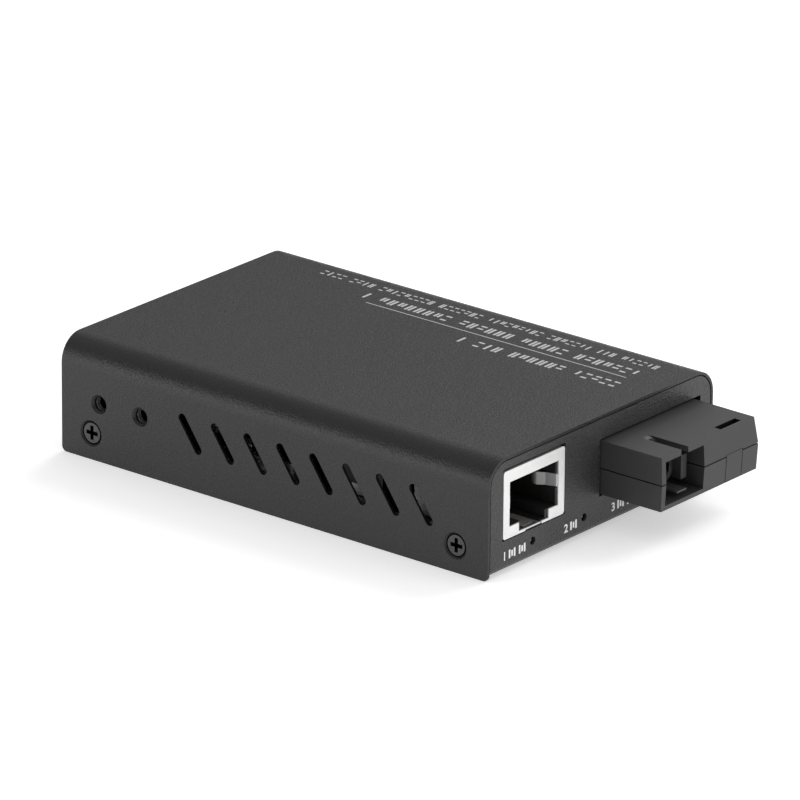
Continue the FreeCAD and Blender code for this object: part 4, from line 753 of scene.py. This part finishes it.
class FinishPowerJack(bpy.types.Operator):
    """Moulded body, centre pin and spring of the power jack"""

    bl_idname = "converter.finish_power_jack"
    bl_label = "Finish power jack"

    def execute(self, context):
        coat("dc_jack_housing", cast_plastic("power_jack_plastic", grey(0.017), roughness=0.4,
                                             texture=0.18 * MM, depth=0.012 * MM))
        axis = middle("dc_jack_pin")
        coat("dc_jack_pin", turned_metal("power_pin_tin", grey(0.7), roughness=0.2,
                                         axis_point=axis))
        coat("dc_jack_spring", plated_sheet("power_spring_tin", grey(0.68), roughness=0.26,
                                            grain_axis="y"))
        return {"FINISHED"}


class FinishMainBoard(bpy.types.Operator):
    """Solder mask of the main board, and the parts on it"""

    bl_idname = "converter.finish_main_board"
    bl_label = "Finish main board"

    def execute(self, context):
        low, high = corners("main_board")
        coat("main_board", solder_mask("main_board_mask", low.z, high.z))
        for node in ("transformer", "main_chip", "memory_chip", "regulator", "diode"):
            coat(node, moulded_chip(node + "_epoxy", node))
        for node in ("capacitor_1", "capacitor_2", "capacitor_3"):
            coat(node, capacitor_can(node + "_can", node))
        coat("crystal", plated_sheet("crystal_can", grey(0.72), roughness=0.24, grain_axis="x"))
        coat("power_inductor", sintered("ferrite", grey(0.06), roughness=0.6))
        coat("chip_resistors", end_capped("resistor_ends", "chip_resistors", grey(0.03)))
        coat("chip_capacitors", end_capped("capacitor_ends", "chip_capacitors", CERAMIC_TAN))
        return {"FINISHED"}


class CutThreads(bpy.types.Operator):
    """Threads in the drawn holes of the cover's sides"""

    bl_idname = "converter.cut_threads"
    bl_label = "Cut threads"

    inset = 0.35 * MM
    ridge = 0.14 * MM
    pitch = 0.5 * MM
    turns = 2.6

    def execute(self, context):
        steel = plated_sheet("thread_steel", grey(0.16), roughness=0.4, grain_axis="x")
        for side in ("left", "right"):
            mount = MOUNTS[f"side_tapped_holes_{side}"]
            threads = Solid()
            out = Vector(mount["axis"])
            bore = mount["dims"]["hole_r_mm"] * MM
            step = Vector((0.0, mount["dims"]["spacing_x_mm"] * MM / 2, 0.0))
            face = COVER_LOW.x if side == "left" else COVER_HIGH.x
            for sign in (-1, 1):
                mouth = Vector(mount["pos_m"]) + step * sign
                mouth.x = face
                start = mouth - out * self.inset
                threads.thread(start, -out, bore, self.ridge, self.pitch, self.turns)
            threads.piece(f"side_threads_{side}", steel, "cover_paint")
        return {"FINISHED"}


class PrintCover(bpy.types.Operator):
    """Three rows of plain marks and a rule in white ink on the cover"""

    bl_idname = "converter.print_cover"
    bl_label = "Print cover"

    # Each row, in millimetres: distance of its middle from the right edge, near end and far end
    # from the cover's front edge, height of the marks, pitch of the marks, stroke.
    rows = (
        ("cover_marks_outer", 7.0, 6.4, 79.6, 1.75, 1.32, 0.33),
        ("cover_marks_middle", 11.25, 7.3, 68.0, 2.3, 1.95, 0.47),
        ("cover_marks_inner", 17.6, 6.7, 43.1, 2.3, 1.95, 0.47),
    )
    rule = (13.95, 7.7, 63.6)
    kinds = ("bar", "pair", "stack", "pair", "stack")
    tallness = (1.0, 1.0, 0.72)
    mark_width = 0.62
    group_gap = 0.9

    def execute(self, context):
        look = context.scene.converter_print
        ink = silkscreen("white_ink", look.cover_ink)
        chance = random.Random(look.seed)
        rise = Vector((0.0, 0.0, 2 * look.ink_thickness))
        for name, *sizes in self.rows:
            marks = Solid()
            self.word_rhythm(marks, chance, rise, *(size * MM for size in sizes))
            marks.piece(name, ink, "cover_paint")
        inset, near, far = (value * MM for value in self.rule)
        line = Solid()
        centre = self.spot(inset, (near + far) / 2, rise)
        self.bar(line, centre, look.rule_width, far - near, rise)
        line.piece("cover_rule", ink, "cover_paint")
        return {"FINISHED"}

    @staticmethod
    def spot(inset, depth, rise):
        """A point under the ink, from the cover's right edge and front edge."""
        return Vector((COVER_HIGH.x - inset, COVER_LOW.y + depth, COVER_HIGH.z)) - rise / 2

    def word_rhythm(self, marks, chance, rise, inset, near, far, height, pitch, stroke):
        """Bars, pairs of bars and stacks of two short bars in groups, with no letter among them."""
        width = pitch * self.mark_width
        depth = near
        left_in_group = chance.randint(4, 8)
        while depth + pitch < far:
            if left_in_group == 0:
                depth += pitch * self.group_gap
                left_in_group = chance.randint(3, 9)
                continue
            left_in_group -= 1
            share = chance.choice(self.tallness)
            tall = height * share
            foot = inset - height * (1 - share) / 2
            kind = chance.choice(self.kinds)
            if kind == "stack":
                offset = (tall - stroke) / 2
                bars = [(foot + edge * offset, width / 2, stroke, width) for edge in (-1, 1)]
            else:
                ends = (width / 2,) if kind == "bar" else (stroke / 2, width - stroke / 2)
                bars = [(foot, end, tall, stroke) for end in ends]
            for place, end, across, along in bars:
                self.bar(marks, self.spot(place, depth + end, rise), across, along, rise)
            depth += pitch

    @staticmethod
    def bar(marks, centre, across, along, rise):
        """A flat bar of ink across and along the cover."""
        marks.prism(rectangle(centre, Vector((1, 0, 0)), Vector((0, 1, 0)), across, along), rise)


class PrintPanel(bpy.types.Operator):
    """Plain numbers and dashes beside the lamp holes of the front panel"""

    bl_idname = "converter.print_panel"
    bl_label = "Print panel"

    # Each label: its number, then in millimetres its left end and right end from the cover's left
    # side and the height of its middle.
    labels = ((1, 3.9, 10.9, 3.28), (2, 20.1, 24.0, 3.28), (3, 32.7, 37.6, 3.32))
    # Shares of the numbers' height: the type size that gives it, how much bolder than the type,
    # and the dashes' stroke, pitch and lower height.
    type_size = 1.38
    boldness = 0.03
    dash_stroke = 0.28
    dash_pitch = 0.44
    low_dash = 0.7

    def execute(self, context):
        look = context.scene.converter_print
        ink = silkscreen("panel_ink", look.panel_ink)
        rise = Vector((0.0, -2 * look.ink_thickness, 0.0))
        for number, left, right, height in self.labels:
            label = Solid()
            start = COVER_LOW.x + left * MM
            end = COVER_LOW.x + right * MM
            self.digit(label, number, start, height * MM, look.panel_digit, rise)
            self.dashes(label, start + look.panel_digit, end, height * MM, look.panel_digit, rise)
            label.piece(f"panel_label_{number}", ink, "tray_paint")
        return {"FINISHED"}

    def digit(self, label, number, left, height, size, rise):
        """A number in the built-in letter shapes, turned to stand on the panel."""
        text = bpy.data.curves.new("digit", "FONT")
        text.body = str(number)
        text.size = size * self.type_size
        text.resolution_u = 4
        text.offset = size * self.boldness
        text.extrude = abs(rise.y) / 2
        holder = bpy.data.objects.new("digit", text)
        bpy.context.scene.collection.objects.link(holder)
        bpy.context.view_layer.update()
        graph = bpy.context.evaluated_depsgraph_get()
        shape = bpy.data.meshes.new_from_object(holder.evaluated_get(graph))
        upright = Matrix.Rotation(math.pi / 2, 4, "X")
        stand = Matrix.Translation((left, PANEL_FACE, height - size / 2)) @ upright
        start = len(label.vertices)
        label.vertices += [stand @ v.co for v in shape.vertices]
        label.faces += [[start + i for i in face.vertices] for face in shape.polygons]
        bpy.data.objects.remove(holder)
        bpy.data.curves.remove(text)
        bpy.data.meshes.remove(shape)

    def dashes(self, label, left, right, height, size, rise):
        """Upright dashes in threes, from the number to the lamp hole."""
        stroke = size * self.dash_stroke
        pitch = size * self.dash_pitch
        count = int((right - left) / pitch)
        for i in range(count):
            if i % 4 == 3:
                continue
            centre = Vector((left + pitch * (i + 0.5), PANEL_FACE, height)) - rise / 2
            tall = size if i % 2 == 0 else size * self.low_dash
            label.prism(rectangle(centre, Vector((1, 0, 0)), Vector((0, 0, 1)), stroke, tall), rise)


def heading(bearing, rise):
    """Unit vector at a bearing from the front towards the right and a rise above the horizon."""
    flat = math.cos(rise)
    return Vector((math.sin(bearing) * flat, -math.cos(bearing) * flat, math.sin(rise)))


class SetStage(bpy.types.Operator):
    """Pale floor, soft lights and the camera"""

    bl_idname = "converter.set_stage"
    bl_label = "Set stage"

    # Each light: its name, its bearing from the front towards the right and its rise in degrees,
    # its distance, width and height in metres.
    lights = (
        ("front", 15, 16, 1.5, 1.6, 0.7),
        ("right", 90, 35, 1.5, 1.2, 1.2),
        ("strip", -126, 8, 1.4, 1.1, 0.34),
        ("rim", 129, 22, 1.5, 1.0, 0.5),
    )
    lit_point = Vector((0.0, 0.0, 10 * MM))
    aim = Vector((-52.952 * MM, COVER_LOW.y, 38.416 * MM))
    # Heights on the unit sphere between which the room goes from its horizon to its zenith level.
    room_span = (0.1, 0.75)

    def execute(self, context):
        stage = context.scene.converter_stage
        self.lay_floor(stage)
        self.set_room(context.scene, stage)
        for name, *place in self.lights:
            self.soft_light(name + "_light", *place, getattr(stage, name + "_power"))
        self.place_camera(context.scene, stage)
        context.scene.view_settings.view_transform = "Standard"
        return {"FINISHED"}

    @staticmethod
    def lay_floor(stage):
        """A square of paper whose top lies at the object's foot."""
        half = stage.floor_size / 2
        corner_points = [(-half, -half, 0), (half, -half, 0), (half, half, 0), (-half, half, 0)]
        mesh = bpy.data.meshes.new("floor")
        mesh.from_pydata(corner_points, [], [[0, 1, 2, 3]])
        floor = bpy.data.objects.new("floor", mesh)
        bpy.context.scene.collection.objects.link(floor)
        coat(floor, studio_floor("floor_paper", stage.floor_colour, stage.floor_glow))

    def set_room(self, scene, stage):
        """A white room whose brightness changes from its horizon to overhead."""
        world = bpy.data.worlds.new("room")
        world.use_nodes = True
        room = Tree(world.node_tree)
        direction = room.node("TexCoord", output="Generated")
        height = room.node("SeparateXYZ", {}, {0: direction}, "Z")
        level = room.node("MapRange", {}, {
            "Value": height, "From Min": self.room_span[0], "From Max": self.room_span[1],
            "To Min": stage.horizon_level, "To Max": stage.zenith_level})
        background = room.tree.nodes["Background"]
        room.link(background.inputs["Color"], (1.0, 1.0, 1.0, 1.0))
        room.link(background.inputs["Strength"], level)
        scene.world = world

    def soft_light(self, name, bearing, rise, distance, width, height, power):
        """A rectangular lamp that faces the object."""
        place = distance * heading(math.radians(bearing), math.radians(rise))
        lamp = bpy.data.lights.new(name, "AREA")
        lamp.shape = "RECTANGLE"
        lamp.size = width
        lamp.size_y = height
        lamp.energy = power
        holder = bpy.data.objects.new(name, lamp)
        holder.location = place
        holder.rotation_mode = "QUATERNION"
        holder.rotation_quaternion = (self.lit_point - place).to_track_quat("-Z", "Y")
        bpy.context.scene.collection.objects.link(holder)

    def place_camera(self, scene, stage):
        """A long lens that looks down on the object from its front left."""
        camera = bpy.data.cameras.new("camera")
        camera.lens = stage.lens
        camera.sensor_width = 36.0
        camera.clip_start = 0.05
        camera.clip_end = 50.0
        back = heading(-stage.azimuth, stage.elevation)
        right = (-back).cross(Vector((0, 0, 1))).normalized()
        up = back.cross(right)
        turned_right = right * math.cos(stage.roll) + up * math.sin(stage.roll)
        turned_up = up * math.cos(stage.roll) - right * math.sin(stage.roll)
        turn = Matrix((turned_right, turned_up, back)).transposed().to_4x4()
        holder = bpy.data.objects.new("camera", camera)
        holder.matrix_world = Matrix.Translation(self.aim + back * stage.distance) @ turn
        scene.collection.objects.link(holder)
        scene.camera = holder


class ConverterPanel(bpy.types.Panel):
    """Lists the steps that dress the converter"""

    bl_idname = "VIEW3D_PT_converter"
    bl_label = "Fibre media converter"
    bl_space_type = "VIEW_3D"
    bl_region_type = "UI"
    bl_category = "Converter"

    def draw(self, context):
        for group in ("converter_finishes", "converter_print", "converter_stage"):
            box = self.layout.box()
            settings = getattr(context.scene, group)
            for name in settings.__annotations__:
                box.prop(settings, name)
        for step in STEPS:
            self.layout.operator(step.bl_idname)


SETTINGS = {
    "converter_finishes": ConverterFinishes,
    "converter_print": ConverterPrint,
    "converter_stage": ConverterStage,
}
STEPS = (CoatCasing, FinishScrews, FinishCopperJack, FinishTransceiver, FinishLamps,
         FinishPowerJack, FinishMainBoard, CutThreads, PrintCover, PrintPanel, SetStage)


def register():
    """Registers the settings, the steps and the panel."""
    for group in (*SETTINGS.values(), *STEPS, ConverterPanel):
        bpy.utils.register_class(group)
    for name, group in SETTINGS.items():
        setattr(bpy.types.Scene, name, PointerProperty(type=group))


def unregister():
    """Takes back what register did."""
    for name in SETTINGS:
        delattr(bpy.types.Scene, name)
    for group in reversed((*SETTINGS.values(), *STEPS, ConverterPanel)):
        bpy.utils.unregister_class(group)


def main():
    """Registers the steps and runs them in order."""
    register()
    for step in STEPS:
        group, name = step.bl_idname.split(".")
        getattr(getattr(bpy.ops, group), name)()
    bpy.context.view_layer.update()


if __name__ == "__main__":
    main()
